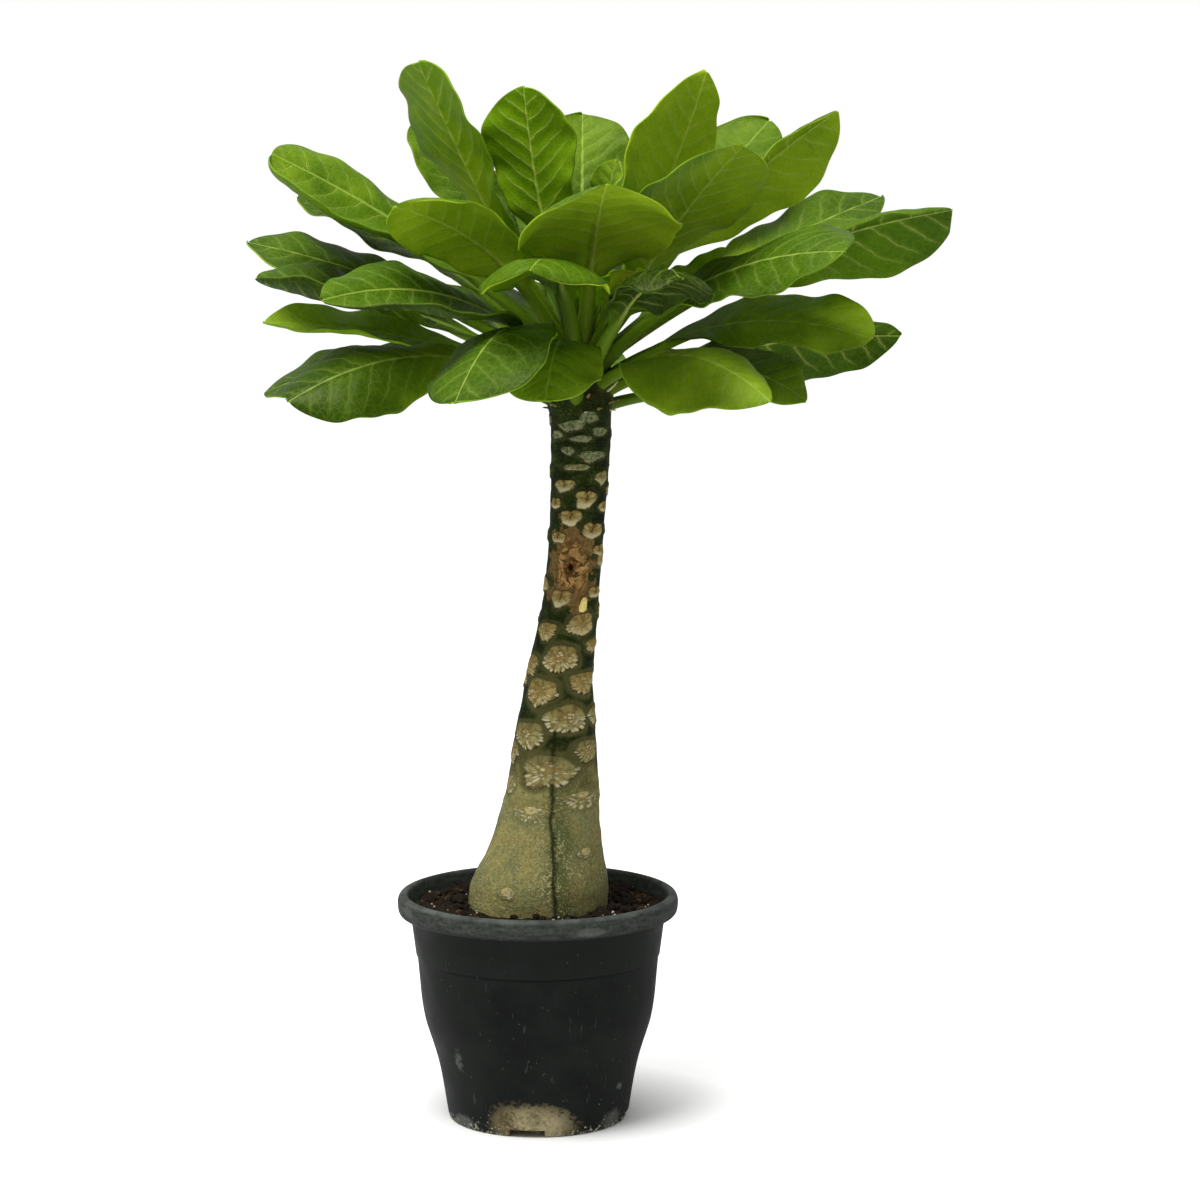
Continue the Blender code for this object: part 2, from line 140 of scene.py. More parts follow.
# An old wound on the front: height, turn, width and height of the raised ring round its hole
WOUND = (336, -4, 21, 27)
WOUND_RING_RISE = 1.4
WOUND_HOLE_DEPTH = 2.5
# Scars round the rest of the stem follow the leaves' spiral
GOLDEN_ANGLE = 137.5
FRONT_HALF_ANGLE = 78
SPIRAL_TOP = 428
SPIRAL_END = 165
STEM_COLUMNS = 220
STEM_ROWS = 400
SCAR_TOP = 430
SCAR_LAST = 190
# The seam as (height, how far across it stands)
SEAM = ((136, 11.5), (161, 9.7), (182, 9.1), (201, 9.1), (230, 10.3), (268, 15.2), (302, 19))
SEAM_DEPTH = 0.7
SEAM_WIDTH = 1.3
# Heights over which the bark's relief sets in and ends, the groove sets in and leaf feet end
RELIEF_STARTS = (131, 139)
RELIEF_ENDS = (466, 480)
SEAM_GROOVE_STARTS = (302, 275)
LEAF_FEET_END = (470, 482)
# Heights over which the colours of the bark change, from where a change starts to where it is full
BARK_TURNS_GREEN = (230, 262)
SCARS_TURN_OLIVE = (272, 238)
SPECKS_THIN_OUT = (190, 262)
SEAM_SETS_IN = (262, 236)
ROSETTES_WIDEN = (195, 180)
BARK_DRIES = (431, 446)
# Ages at which scars turn cream, turn tan and are grown over: 0 just under the leaves, 1 low down
SCAR_AGES = ((0.1, 0.22), (0.44, 0.62), (0.86, 1))
LEAF_FOOT_HALF_WIDTH = 6
LEAF_FOOT_HALF_HEIGHT = 6.5
LEAF_FOOT_RISE = 2.2

# Dried feet of shed leaves among the stalks as (height, turn to the right, length, width, how much
# they droop, surface: 0 brown, 1 bleached), and last a yellow bud above a scar
REMAINS = (
    (452, -8, 9, 3.2, 0.1, 0), (449, 22, 11, 3.0, -0.1, 1), (441, 58, 10, 3.4, -0.2, 1),
    (434, 66, 9, 3.0, 0.2, 0), (431, 34, 6, 3.2, 0.3, 0), (432, -52, 8, 3.4, 0.2, 0),
    (436, -76, 9, 3.0, 0.0, 1), (444, -34, 8, 3.2, 0.1, 0), (430, 74, 5, 3.4, 0.5, 1),
    (429, 8, 6, 3.0, 0.3, 1), (438, 12, 8, 2.8, 0.1, 0), (446, 100, 9, 3.2, 0.1, 0),
    (433, 130, 8, 3.2, 0.2, 1), (440, 162, 9, 3.0, 0.1, 0), (431, 190, 7, 3.2, 0.2, 0),
    (437, 222, 9, 3.0, 0.2, 1), (445, 250, 8, 3.4, 0.0, 0), (430, 268, 7, 3.0, 0.3, 0),
    (311, 28, 7.4, 6.6, -0.35, 2),
)

# Each is a bent spur with this many sides, drawn through rings at (share of its length, fullness)
SPUR_SIDES = 8
SPUR_RINGS = ((0, 1), (0.25, 1), (0.5, 1), (0.75, 1), (0.93, 0.75), (1, 0.3))
SPUR_TAPER = 0.45
SPUR_FLATNESS = 0.6
SPUR_SUNK = 1.2

# Leaves
STALK_HALF_WIDTH = 4.4
MARGIN_WAVE = 2.5
WAVES_PER_BLADE = 2.3
WAVE_PHASE_STEP = 0.31
MARGIN_RIPPLE = 0.8
RIPPLE_RATE = 2.6
VEINS_PER_BLADE = 9.5
VEIN_SWEEP = 0.55
VEIN_CURVE = 0.008
VEIN_STAGGER = 0.45
QUILT_RISE = 0.45
RIB_GROOVE = 0.35
# The midrib's keel at the root, at the end of the stalk, a quarter along the blade and at the tip
KEEL_HALF_WIDTHS = (4.6, 4, 2.6, 0.7)
KEEL_DEPTHS = (4.6, 4, 2, 0.3)
# The flesh beside it, at the root, at the end of the stalk and at the tip
FLESH_THICKNESS = (0.9, 1.1, 0.8)
STALK_ROWS = 14
BLADE_ROWS = 72
HALF_COLUMNS = 18
STALK_INSET = 4
STALK_SHADE_REACH = 48
# Step from one leaf to the next through the patterns, so that no two leaves are marked alike
PATTERN_STEP = 37
# Young leaves round the growing tip: shaped at full size and then scaled down. Where two values
# are given, they are for the innermost and the outermost
YOUNG_LEAVES = 11
YOUNG_LENGTH = 145
YOUNG_LEVEL = 470
YOUNG_SIZES = (0.17, 0.36)
YOUNG_LEANS = (8, 44)
YOUNG_FOOT_HEIGHTS = (483, 474)
YOUNG_FOOT_REACHES = (3, 11)
YOUNG_COARSENESS = 3


class Leaf(NamedTuple):
    """One leaf. Left and right are seen from the stem, looking outwards with the upper face up."""

    tip: tuple  # where the tip is
    level: float  # height of the leaf's root on the stem
    arch: float  # rise of the midrib above the straight line from root to tip
    width: float  # widest part of the blade, before it is cupped
    roll: float = 0  # turn about the midrib, with the left half raised
    cup: tuple = (0, 0)  # how far the left and right halves curl up, or down when negative
    halves: tuple = (1, 1)  # size of the left and right halves
    stalk: float = 0.3  # share of the length that is stalk
    point: float = 0.6  # low for a blunt end, high for a pointed one
    base: float = 1.2  # low for a blade that widens near its stalk
    hook: float = 0  # drop of the last quarter
    turn: float = None  # direction in which the root leaves the stem, if not the tip's
    # top and under paint each side's light and shade over the leaf's own tone: 0 deep painted shade,
    # 1 bright painted light
    top: tuple = (0.55, 0.62)  # upper side near the stalk and near the tip: 0 deep, 1 bright
    under: tuple = (0.6, 0.66)  # underside, in the same way


LEAVES = (
    # Left side, upper tiers
    Leaf((-154, -21, 581), 470.3, 7, 70, -56, (80, -40), (1.45, 0.7), 0.3, 0.42,
        top=(0.6, 0.7), under=(0.3, 0.5)),
    Leaf((-144, 41, 557), 464.5, 9, 52, -14, (10, -5), top=(0.04, 0.32)),
    Leaf((-172, 12, 529), 457.8, 9, 64, -28, (25, -20), top=(0.55, 0.42)),
    Leaf((-161, -47, 509), 451.8, 9, 72, -40, (90, -20), (1.2, 0.7), 0.28,
        top=(0, 0.45), under=(0.15, 0.05)),
    Leaf((-117, -122, 499), 456.2, 22, 76, -45, (70, -30), (1.45, 0.75), 0.2, 0.7, 0.8,
        top=(0.3, 0.5), under=(0.35, 0)),
    # Left side, low tiers
    Leaf((-162, 3, 482), 445.4, 9, 54, -32, (60, 0), (0.8, 0.8), 0.22, top=(0.9, 1)),
    Leaf((-166, 37, 438), 438, 20, 60, -25, (5, -5), (1, 1), 0.25, top=(0.4, 0.45)),
    Leaf((-140, -80, 440), 440, 24, 70, -35, (-35, -45), (1, 1), 0.25, top=(1, 0.35)),
    # Front, drooping towards the viewer
    Leaf((-42, -150, 444), 450, 36, 78, 5, (-5, -35), (1.1, 0.85), 0.25, 0.45, top=(0.7, 0.35)),
    Leaf((7, -118, 443), 441.5, 32, 58, 0, (-15, -15), (1, 1), 0.25, 0.45, top=(0.5, 0.8)),
    Leaf((0, -162, 517), 461, 28, 84, 0, (-50, -50), top=(0.65, 0.63), under=(0.4, 1)),
    Leaf((-77, -100, 551), 469, 16, 70, 42, (-60, -5), (1.05, 0.7), 0.3, 0.4, 0.8, under=(1, 0.85)),
    # Erect leaves round the growing tip
    Leaf((-66, -45, 633), 476, -3, 70, 5, (-10, 10), (1, 1.5), 0.3, 0.45, 1.05, under=(0.85, 0.7)),
    Leaf((-74, 62, 602), 472.3, 5, 44, -30, (10, 10), top=(0, 0.7)),
    Leaf((-6, -30, 619), 482, -4, 66, 10, (-10, -10), under=(0.65, 0.65)),
    Leaf((27, 67, 606), 481.2, 6, 60, 0, (10, 10), top=(0.3, 0.72)),
    Leaf((47, 6, 578), 482, 3, 30, 0, (30, 30), turn=33, top=(0.6, 0.76)),
    Leaf((99, -30, 628), 481, -4, 82, -28, (-10, -10), (0.62, 0.95), 0.3, 0.85, 1.05, under=(1, 0.9)),
    Leaf((141, 75, 602), 477.2, 3, 58, 30, (10, 10), top=(0.5, 0.61)),
    Leaf((176, -11, 606), 473.8, 9, 72, -50, (-5, -70), (1, 0.38), 0.3, 0.65, under=(0.83, 0.88)),
    # Right side, upper tiers
    Leaf((118, -80, 585), 470, 7, 86, -10, (-10, -30), (0.9, 1.38), 0.3, 0.5, 1.05, under=(0.9, 0.7)),
    Leaf((41, -146, 563), 471, 13, 100, 0, (-30, -50), (0.95, 1.05), 0.3, 0.5, 1.05, under=(1, 0.9)),
    Leaf((240, -50, 549), 464.3, 14, 78, -45, (-5, -80), (1, 0.5), 0.3, 0.5, under=(0.75, 0.3)),
    Leaf((209, 63, 556), 467.8, 6, 56, 20, (10, 10), top=(0.9, 0.48)),
    Leaf((173, -122, 526), 459.3, 18, 72, 40, (-40, -5), (1.3, 0.85), 0.3, 0.6, 0.95,
        top=(0.22, 0.5), under=(0.45, 0.45)),
    Leaf((83, -150, 520), 455.5, 12, 62, -5, (-50, -50), (1, 1), 0.3, 0.4, hook=8,
        top=(0, 0), under=(0, 0)),
    # Right side, low tiers
    Leaf((194, -60, 475), 453, 19, 62, 28, (0, 0), (1.1, 0.85), 0.22, 0.5, 0.95,
        top=(0.75, 0.9), under=(0.05, 0.1)),
    Leaf((219, 34, 473), 449, 8, 72, -50, (-5, -20), (0.95, 0.5), 0.25, 0.75, under=(0.2, 0.22)),
    Leaf((133, -110, 442), 449, 20, 76, 35, (-60, -20), (0.65, 1.05), 0.15, 0.8, 0.9, top=(1, 0.9)),
    Leaf((158, -40, 438), 445, 18, 52, 30, (0, 0), (1, 0.9), 0.2, 0.8, top=(0.07, 0.8)),
    Leaf((130, 80, 430), 434, 7, 56),
    Leaf((58, -78, 515), 464, 4, 20, 0, (20, 20), (1, 1), 0.35, under=(0.22, 1)),
    # Back
    Leaf((-84, 150, 524), 464.3, 12, 72, 30, (20, 20), (1, 1), 0.22, 0.5, 1.0, top=(0.85, 0.6)),
    Leaf((-91, 160, 488), 453, 18, 68, 14, (15, 20)),
    Leaf((-38, 180, 535), 470.8, 18, 72, -6, (20, 10)),
    Leaf((-14, 170, 464), 446, 24, 66, 0, (10, 15)),
    Leaf((38, 185, 517), 462, 20, 72, 0, (20, 20)),
    Leaf((86, 168, 494), 449, 22, 64, -28, (15, 5)),
    Leaf((120, 150, 542), 468.5, 14, 74, -18, (20, 20)),
    Leaf((146, 102, 518), 461.5, 11, 58, 5, (20, 15), (1, 1), 0.25, top=(1, 1)),
    Leaf((-24, 115, 572), 477.5, 8, 44, 0, (15, 15)),
    Leaf((63, 130, 576), 474.8, 8, 54, 0, (15, 15)),
    Leaf((-60, 165, 432), 439, 26, 62, 0, (5, 5)),
    Leaf((24, 182, 432), 435.5, 22, 60, 0, (5, 5)),
)


# Light
SURROUND_LIGHT = 0.45
FLOOR_LIFT = 0.6
# Metres from the pot's axis over which that lift sets in, so that none of it lights the pot's foot
FLOOR_LIFT_STARTS = (0.05, 0.13)
KEY_POWER = 62
KEY_WIDTH = 1.3
KEY_PLACE = (-0.6, -0.75, 2.5)
KEY_TARGET = (0, 0, 0.4)

# Kinds of shader node, each with the settings that it always has here
ATTRIBUTE = {"kind": "ShaderNodeAttribute", "output": "Vector"}
PLACE = {"kind": "ShaderNodeTexCoord", "output": "Object"}
CAMERA_RAY = {"kind": "ShaderNodeLightPath", "output": "Is Camera Ray"}
SPLIT = {"kind": "ShaderNodeSeparateXYZ"}
JOIN = {"kind": "ShaderNodeCombineXYZ"}
NOISE = {"kind": "ShaderNodeTexNoise"}
CELLS = {"kind": "ShaderNodeTexVoronoi"}
RAMP = {"kind": "ShaderNodeValToRGB"}
BUMP = {"kind": "ShaderNodeBump"}
RANGE = {"kind": "ShaderNodeMapRange"}
SOFT_RANGE = {**RANGE, "interpolation_type": "SMOOTHSTEP"}
BLEND = {"kind": "ShaderNodeMix", "data_type": "RGBA", "output": 2}
MATH = {"kind": "ShaderNodeMath"}
PLUS = {**MATH, "operation": "ADD"}
MINUS = {**MATH, "operation": "SUBTRACT"}
TIMES = {**MATH, "operation": "MULTIPLY"}
TIMES_PLUS = {**MATH, "operation": "MULTIPLY_ADD"}
UNSIGNED = {**MATH, "operation": "ABSOLUTE"}
SINE = {**MATH, "operation": "SINE"}
VECTOR = {"kind": "ShaderNodeVectorMath"}
SCALE = {**VECTOR, "operation": "SCALE"}
LENGTH = {**VECTOR, "operation": "LENGTH", "output": "Value"}


def colour(value):
    """Turns an sRGB hex colour to the linear RGBA that shaders take."""
    parts = [int(value[i : i + 2], 16) / 255 for i in (1, 3, 5)]
    linear = [p / 12.92 if p <= 0.04045 else ((p + 0.055) / 1.055) ** 2.4 for p in parts]
    return (*linear, 1)


def feed(tree, node, inputs):
    """Links or sets a node's inputs, by name or number, or in their own order from a tuple."""
    for key, value in (inputs if isinstance(inputs, dict) else dict(enumerate(inputs))).items():
        if isinstance(value, bpy.types.NodeSocket):
            tree.links.new(value, node.inputs[key])
        else:
            node.inputs[key].default_value = value


def add_node(tree, kind, inputs=(), **settings):
    """Adds a shader node with its settings and inputs, and returns one of its outputs."""
    settings = {"output": 0, **kind, **settings}
    output = settings.pop("output")
    node = tree.nodes.new(settings.pop("kind"))
    for key, value in settings.items():
        setattr(node, key, value)
    feed(tree, node, inputs)
    return node.outputs[output]


def new_finish(name, roughness, ior):
    """A new material, what adds nodes to it, and what links or sets its shader's inputs."""
    made = bpy.data.materials.new(name)
    made.use_nodes = True
    tree = made.node_tree
    dress = partial(feed, tree, tree.nodes["Principled BSDF"])
    dress({"Roughness": roughness, "IOR": ior})
    return made, partial(add_node, tree), dress


def world_millimetres(add):
    """The place of each point in millimetres, for patterns with real sizes."""
    return add(SCALE, {0: add(PLACE), 3: 1 / MM})


def smooth_step(low, high, value):
    """0 up to low and 1 from high on, with an even curve between them."""
    share = np.clip((value - low) / (high - low), 0, 1)
    return share * share * (3 - 2 * share)


def unit(vectors):
    """The same directions with a length of 1."""
    return vectors / np.linalg.norm(vectors, axis=-1, keepdims=True)


def unevenness(points, size, seed):
    """Smooth irregular values from -1 to 1 for points, with lumps of about this size."""
    picker = np.random.default_rng(seed)
    total = np.zeros(points.shape[:-1])
    for _ in range(7):
        heading = picker.normal(size=3)
        pace = 2 * math.pi / size * picker.uniform(0.35, 1.1) / np.linalg.norm(heading)
        total = total + np.sin(points @ (heading * pace) + picker.uniform(0, 2 * math.pi))
    return total / 3.2


def inside_box(points):
    """Points in millimetres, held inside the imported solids' own box."""
    low, high = (np.array(corner) / MM for corner in SOLID_BOX)
    return np.clip(points, low + BOX_ROOM, high - BOX_ROOM)


def in_scene(name, data):
    """Puts a new object into the scene."""
    made = bpy.data.objects.new(name, data)
    bpy.context.scene.collection.objects.link(made)
    return made


def mesh_from(bm, name):
    """Turns what was built into a mesh of this name."""
    mesh = bpy.data.meshes.new(name)
    bm.to_mesh(mesh)
    bm.free()
    return mesh


def surface_faces(vertices, surface):
    """Gives one of the piece's surfaces to each face at these vertices."""
    for face in {face for vertex in vertices for face in vertex.link_faces}:
        face.material_index = surface
        face.smooth = True


def new_piece(name, mesh, surfaces, node=None):
    """A piece that rides on the plant's one body and, where a node is named, stands for it."""
    made = in_scene(name, mesh)
    for surface in surfaces:
        mesh.materials.append(surface)
    mesh.shade_smooth()
    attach(made, BODY)
    if node:
        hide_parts(node)
    return made


def keep_vectors(mesh, name, vectors):
    """Stores a vector with each point, for the materials to read."""
    layer = mesh.attributes.new(name, "FLOAT_VECTOR", "POINT")
    layer.data.foreach_set("vector", np.asarray(vectors, np.float32).ravel())


def hoop_faces(rows, columns):
    """Faces of a grid that closes on itself round its columns."""
    row = np.arange(rows - 1)[:, None] * columns
    here = np.arange(columns)[None, :]
    ahead = (here + 1) % columns
    corners = (row + here, row + ahead, row + columns + ahead, row + columns + here)
    return np.stack(corners, -1).reshape(-1, 4)


def rounded(points, times):
    """Cuts the corners of an open line of points, again and again."""
    points = np.array(points, float)
    for _ in range(times):
        near = 0.75 * points[:-1] + 0.25 * points[1:]
        far = 0.25 * points[:-1] + 0.75 * points[1:]
        cut = np.stack((near, far), 1).reshape(-1, 2)
        points = np.concatenate((points[:1], cut, points[-1:]))
    return points


# Finishes' colours. Leaf flesh goes from deep painted shade to bright painted light in four steps
LEAF_TOP_SHADE_TO_LIGHT = (colour("#1c3002"), colour("#304c03"), colour("#50700a"), colour("#86a41c"))
LEAF_UNDER_SHADE_TO_LIGHT = (colour("#1f3602"), colour("#44660a"), colour("#6a900c"), colour("#a4c022"))
LEAF_TOP_VEIN = colour("#aac454")
LEAF_UNDER_VEIN = colour("#d4e270")
LEAF_WAX = colour("#e8f0a0")
LEAF_STALK = colour("#5a7a12")
LEAF_STALK_SHADE = colour("#2c3c08")
BARK_DARK = colour("#121a03")
BARK_GREEN = colour("#2b3a0a")
BARK_OLIVE = colour("#aa9f62")
BARK_GREY_GREEN = colour("#81875a")
# Olive of the lower bark in painted shade, on the stem's right
BARK_OLIVE_PAINTED_SHADE = colour("#8d8350")
BARK_SPECK = colour("#cdc692")
BARK_SEAM = colour("#1b2408")
BARK_MOSS = colour("#4a5226")
BARK_DRIED = colour("#2a2410")
SCAR_HALO = colour("#5c5a32")
SCAR_YOUNG = colour("#8f9870")
SCAR_PALE = colour("#bda868")
SCAR_OLD = colour("#cbb26c")
SCAR_BROWN = colour("#64502a")
SCAR_CREAM = colour("#e6dcac")
SCAR_MOSSY = colour("#3e4a28")
SCAR_CORE = colour("#8a6a34")
SCAR_OLIVE = colour("#a5a06a")
SCAR_ROSETTE = colour("#dcc888")
SCAR_CRACK = colour("#5b3a1a")
SCAR_LIP_SHADOW = colour("#3a2010")
WOUND_PALE = colour("#cfb078")
WOUND_TAN = colour("#b48a50")
WOUND_BARK = colour("#86693c")
WOUND_BROWN = colour("#684826")
WOUND_CREASE = colour("#34200e")
WOUND_HOLE = colour("#3c1604")
LEAF_FOOT_GREEN = colour("#3a4c12")
REMAINS_BROWN = colour("#4a3a1c")
REMAINS_TAN = colour("#8c8250")
REMAINS_PALE = colour("#c2c690")
BUD_YELLOW = colour("#e0c850")
BUD_PALE = colour("#f0e0a0")
POT_BLACK = colour("#0d0f0e")
POT_DUSTY = colour("#1c201d")
POT_SHADOW = colour("#040504")
POT_RIM_GREY = colour("#4c504a")
# Pale grey of scuffs and scratches, and of the painted highlight on the rim's top
POT_SCUFF_AND_HIGHLIGHT = colour("#6a6e6a")
POT_FLECK = colour("#b9b49a")
POT_MUD = colour("#ada17c")
POT_MUD_DARK = colour("#5c5238")
POT_CHALK = colour("#8a8d86")
# Marks on the pot as (middle, reach to each side, how strong)
POT_MUD_MARK = ((-2, -56, 8), (30, 18, 15), 0.95)
POT_CHALK_MARKS = (
    ((33, -78, 130), (13, 8, 3), 0.22), ((-76, -34, 133), (12, 10, 4), 0.2),
    ((-48, -44, 41), (5, 6, 13), 0.4), ((-44, -32, 4), (15, 10, 5), 0.3),
    ((42, -32, 6), (13, 10, 8), 0.3), ((46, -30, 26), (5, 6, 4), 0.5),
)
SOIL_DARK = colour("#2a221b")
SOIL_BROWN = colour("#3c2f24")
SOIL_FIBRE = colour("#86694a")
PERLITE = colour("#e2dccb")


# Leaves


def stem_at(height):
    """How far the stem's middle stands to the right, and its radius, evened out over 12 mm."""
    heights, offsets, radii = np.array(STEM_CURVE).T
    near = [np.asarray(height, float) + step for step in (-6, -3, 0, 3, 6)]
    offset = sum(np.interp(level, heights, offsets) for level in near) / len(near)
    radius = sum(np.interp(level, heights, radii) for level in near) / len(near)
    return offset, radius


def leaf_frame(leaf):
    """Where the leaf's root meets the bark, and its directions outwards and to the left."""
    heights, offsets, radii = np.array(STEM_CURVE).T
    offset = np.interp(leaf.level, heights, offsets)
    radius = np.interp(leaf.level, heights, radii)
    tip = np.array(leaf.tip, float)
    turn = math.atan2(tip[1], tip[0] - offset) if leaf.turn is None else math.radians(leaf.turn)
    out = np.array([math.cos(turn), math.sin(turn), 0.0])
    left = np.array([-out[1], out[0], 0.0])
    root = np.array([offset, 0.0, leaf.level]) + out * (radius + GAP)
    return root, out, left, tip


def half_widths(leaf, along, blade, across):
    """Half the leaf's width, by share of its length and share of its blade."""
    widest = leaf.base / (leaf.base + leaf.point)
    full = widest**leaf.base * (1 - widest) ** leaf.point
    outline = blade**leaf.base * (1 - blade) ** leaf.point / full
    half = np.where(across > 0, leaf.halves[0], leaf.halves[1])
    stalk = (STALK_HALF_WIDTH - smooth_step(0, 0.3, along)) * (1 - smooth_step(0.3, 0.75, along))
    return leaf.width / 2 * outline * half + stalk + 0.9 * smooth_step(0.6, 1, along)


def leaf_surface(leaf, phase, along, across):
    """Points of the upper face, for rows along the leaf and columns across it from -1 to 1."""
    root, _, left, tip = leaf_frame(leaf)
    # The midrib is a curve of the second degree, and each row has its own left and up
    above = unit(np.cross(tip - root, left))
    middle = (root + tip) / 2 + 2 * leaf.arch * above
    s = along[..., None]
    midrib = (1 - s) ** 2 * root + 2 * s * (1 - s) * middle + s**2 * tip
    ahead = unit((1 - s) * (middle - root) + s * (tip - middle))
    level = unit(left - ahead * (ahead @ left)[..., None])
    above = np.cross(ahead, level)
    roll = math.radians(leaf.roll) * smooth_step(0.05, 0.5, s)
    side = np.cos(roll) * level + np.sin(roll) * above
    up = np.cos(roll) * above - np.sin(roll) * level
    # Each half of the blade curls as an arc, and its margin waves
    blade = np.clip((along - leaf.stalk) / (1 - leaf.stalk), 0, 1)
    spread = smooth_step(0.02, 0.35, blade)
    half = half_widths(leaf, along, blade, across)
    curl = np.radians(np.where(across > 0, leaf.cup[0], leaf.cup[1])) * spread
    curl = curl + 0.35 * (1 - spread) + 1e-6
    bend = curl * np.abs(across)
    sideways = np.sign(across) * half * np.sin(bend) / curl
    lift = half * (1 - np.cos(bend)) / curl
    beat = WAVES_PER_BLADE * blade + phase + np.where(across > 0, 0, 0.37)
    wave = MARGIN_WAVE * np.abs(across) ** 1.5 * np.sin(2 * math.pi * beat)
    ripple = MARGIN_RIPPLE * np.abs(across) ** 3 * np.sin(2 * math.pi * RIPPLE_RATE * beat)
    wave = (wave + ripple) * spread * (1 - 0.5 * smooth_step(0.85, 1, blade))
    lift = lift + wave - leaf.hook * smooth_step(0.75, 1, blade) ** 2
    return midrib + sideways[..., None] * side + lift[..., None] * up, half, blade


def vein_place(leaf, length, half, blade, across):
    """A value that is whole along each side vein, which leaves the midrib and sweeps forwards."""
    reach = half * np.abs(across)
    blade_length = length * (1 - leaf.stalk)
    start = blade * blade_length - VEIN_SWEEP * reach - VEIN_CURVE * reach**2
    return start * VEINS_PER_BLADE / blade_length + np.where(across > 0, VEIN_STAGGER, 0)


def leaf_faces(rows, wide):
    """Faces of the upper side, and then those of the underside and all round the rim."""
    index = np.arange(rows * wide).reshape(rows, wide)
    below = index + rows * wide
    top = np.stack((index[:-1, :-1], index[1:, :-1], index[1:, 1:], index[:-1, 1:]), -1)
    top = top.reshape(-1, 4)
    under = (top + rows * wide)[:, ::-1]
    right = (index[:-1, 0], below[:-1, 0], below[1:, 0], index[1:, 0])
    left = (index[:-1, -1], index[1:, -1], below[1:, -1], below[:-1, -1])
    foot = (index[0, :-1], index[0, 1:], below[0, 1:], below[0, :-1])
    end = (index[-1, 1:], index[-1, :-1], below[-1, :-1], below[-1, 1:])
    rim = [np.stack(side, -1) for side in (right, left, foot, end)]
    return top, np.concatenate((under, *rim))


def leaf_mesh(name, leaf, number, coarse=1):
    """One closed fleshy leaf: stalk, midrib and blade, quilted between its side veins."""
    root, _, _, tip = leaf_frame(leaf)
    length = np.linalg.norm(tip - root) * (1 + 2.7 * (leaf.arch / np.linalg.norm(tip - root)) ** 2)
    stalk = np.linspace(-STALK_INSET / length, leaf.stalk, STALK_ROWS // coarse + 1)[:-1]
    steps = np.linspace(0, 1, BLADE_ROWS // coarse + 1)
    blade_rows = leaf.stalk + (1 - leaf.stalk) * (1 - (1 - steps) ** 1.7)
    spacing = np.linspace(0, 1, HALF_COLUMNS // coarse + 1) ** 1.4
    columns = np.concatenate((-spacing[:0:-1], spacing))
    along, across = np.meshgrid(np.concatenate((stalk, blade_rows)), columns, indexing="ij")
    upper, half, blade = leaf_surface(leaf, WAVE_PHASE_STEP * number, along, across)
    normal = unit(np.cross(np.gradient(upper, axis=0), np.gradient(upper, axis=1)))
    # The blade is puffed between the side veins and sinks along the midrib
    veins = vein_place(leaf, length, half, blade, across)
    spread = smooth_step(0.04, 0.2, blade) * (1 - smooth_step(0.85, 1, blade))
    reach = half * np.abs(across)
    puff = QUILT_RISE * (0.5 - 0.5 * np.cos(2 * math.pi * veins)) * (1 - np.abs(across) ** 3)
    groove = RIB_GROOVE * np.exp(-((reach / 1.6) ** 2)) * (1 - smooth_step(0.9, 1, blade))
    sag = 0.8 * unevenness(upper, 38, number) * np.abs(across) * spread
    upper = upper + normal * (spread * puff - groove + sag)[..., None]
    # Below, the midrib stands out as a rounded keel that tapers from the stalk to the tip
    stops = (0, leaf.stalk, leaf.stalk + 0.25 * (1 - leaf.stalk), 1)
    keel_half = np.interp(along, stops, KEEL_HALF_WIDTHS)
    keel = np.interp(along, stops, KEEL_DEPTHS)
    keel = keel * np.clip(1 - (reach / keel_half) ** 2, 0, 1) ** 0.8
    flesh = np.interp(along, (0, leaf.stalk, 1), FLESH_THICKNESS)
    lower = upper - normal * (flesh + keel)[..., None]
    top, rest = leaf_faces(*along.shape)
    points = inside_box(np.concatenate((upper.reshape(-1, 3), lower.reshape(-1, 3))))
    mesh = bpy.data.meshes.new(name)
    mesh.from_pydata((points * MM).tolist(), [], np.concatenate((top, rest)).tolist())
    mesh.polygons.foreach_set("material_index", np.repeat((0, 1), (len(top), len(rest))))
    stalk_share = 1 - smooth_step(-0.02, 0.22, (along - leaf.stalk) / (1 - leaf.stalk))
    # Painted light and shade of each side, from the stalk outwards to the tip
    outwards = smooth_step(0.05, 0.9, blade)
    top_light_and_shade, under_light_and_shade = (np.interp(outwards, (0, 1), side) for side in (leaf.top, leaf.under))
    place = (half * across, along * length, np.full_like(along, PATTERN_STEP * number))
    lines = (veins, reach / keel_half, np.abs(across))
    tones_and_shade = (stalk_share, top_light_and_shade, under_light_and_shade)
    for layer, values in (("leaf_mm", place), ("leaf_lines", lines), ("leaf_tone_and_shade", tones_and_shade)):
        flat = np.stack(values, -1).reshape(-1, 3)
        keep_vectors(mesh, layer, np.concatenate((flat, flat)))
    return mesh


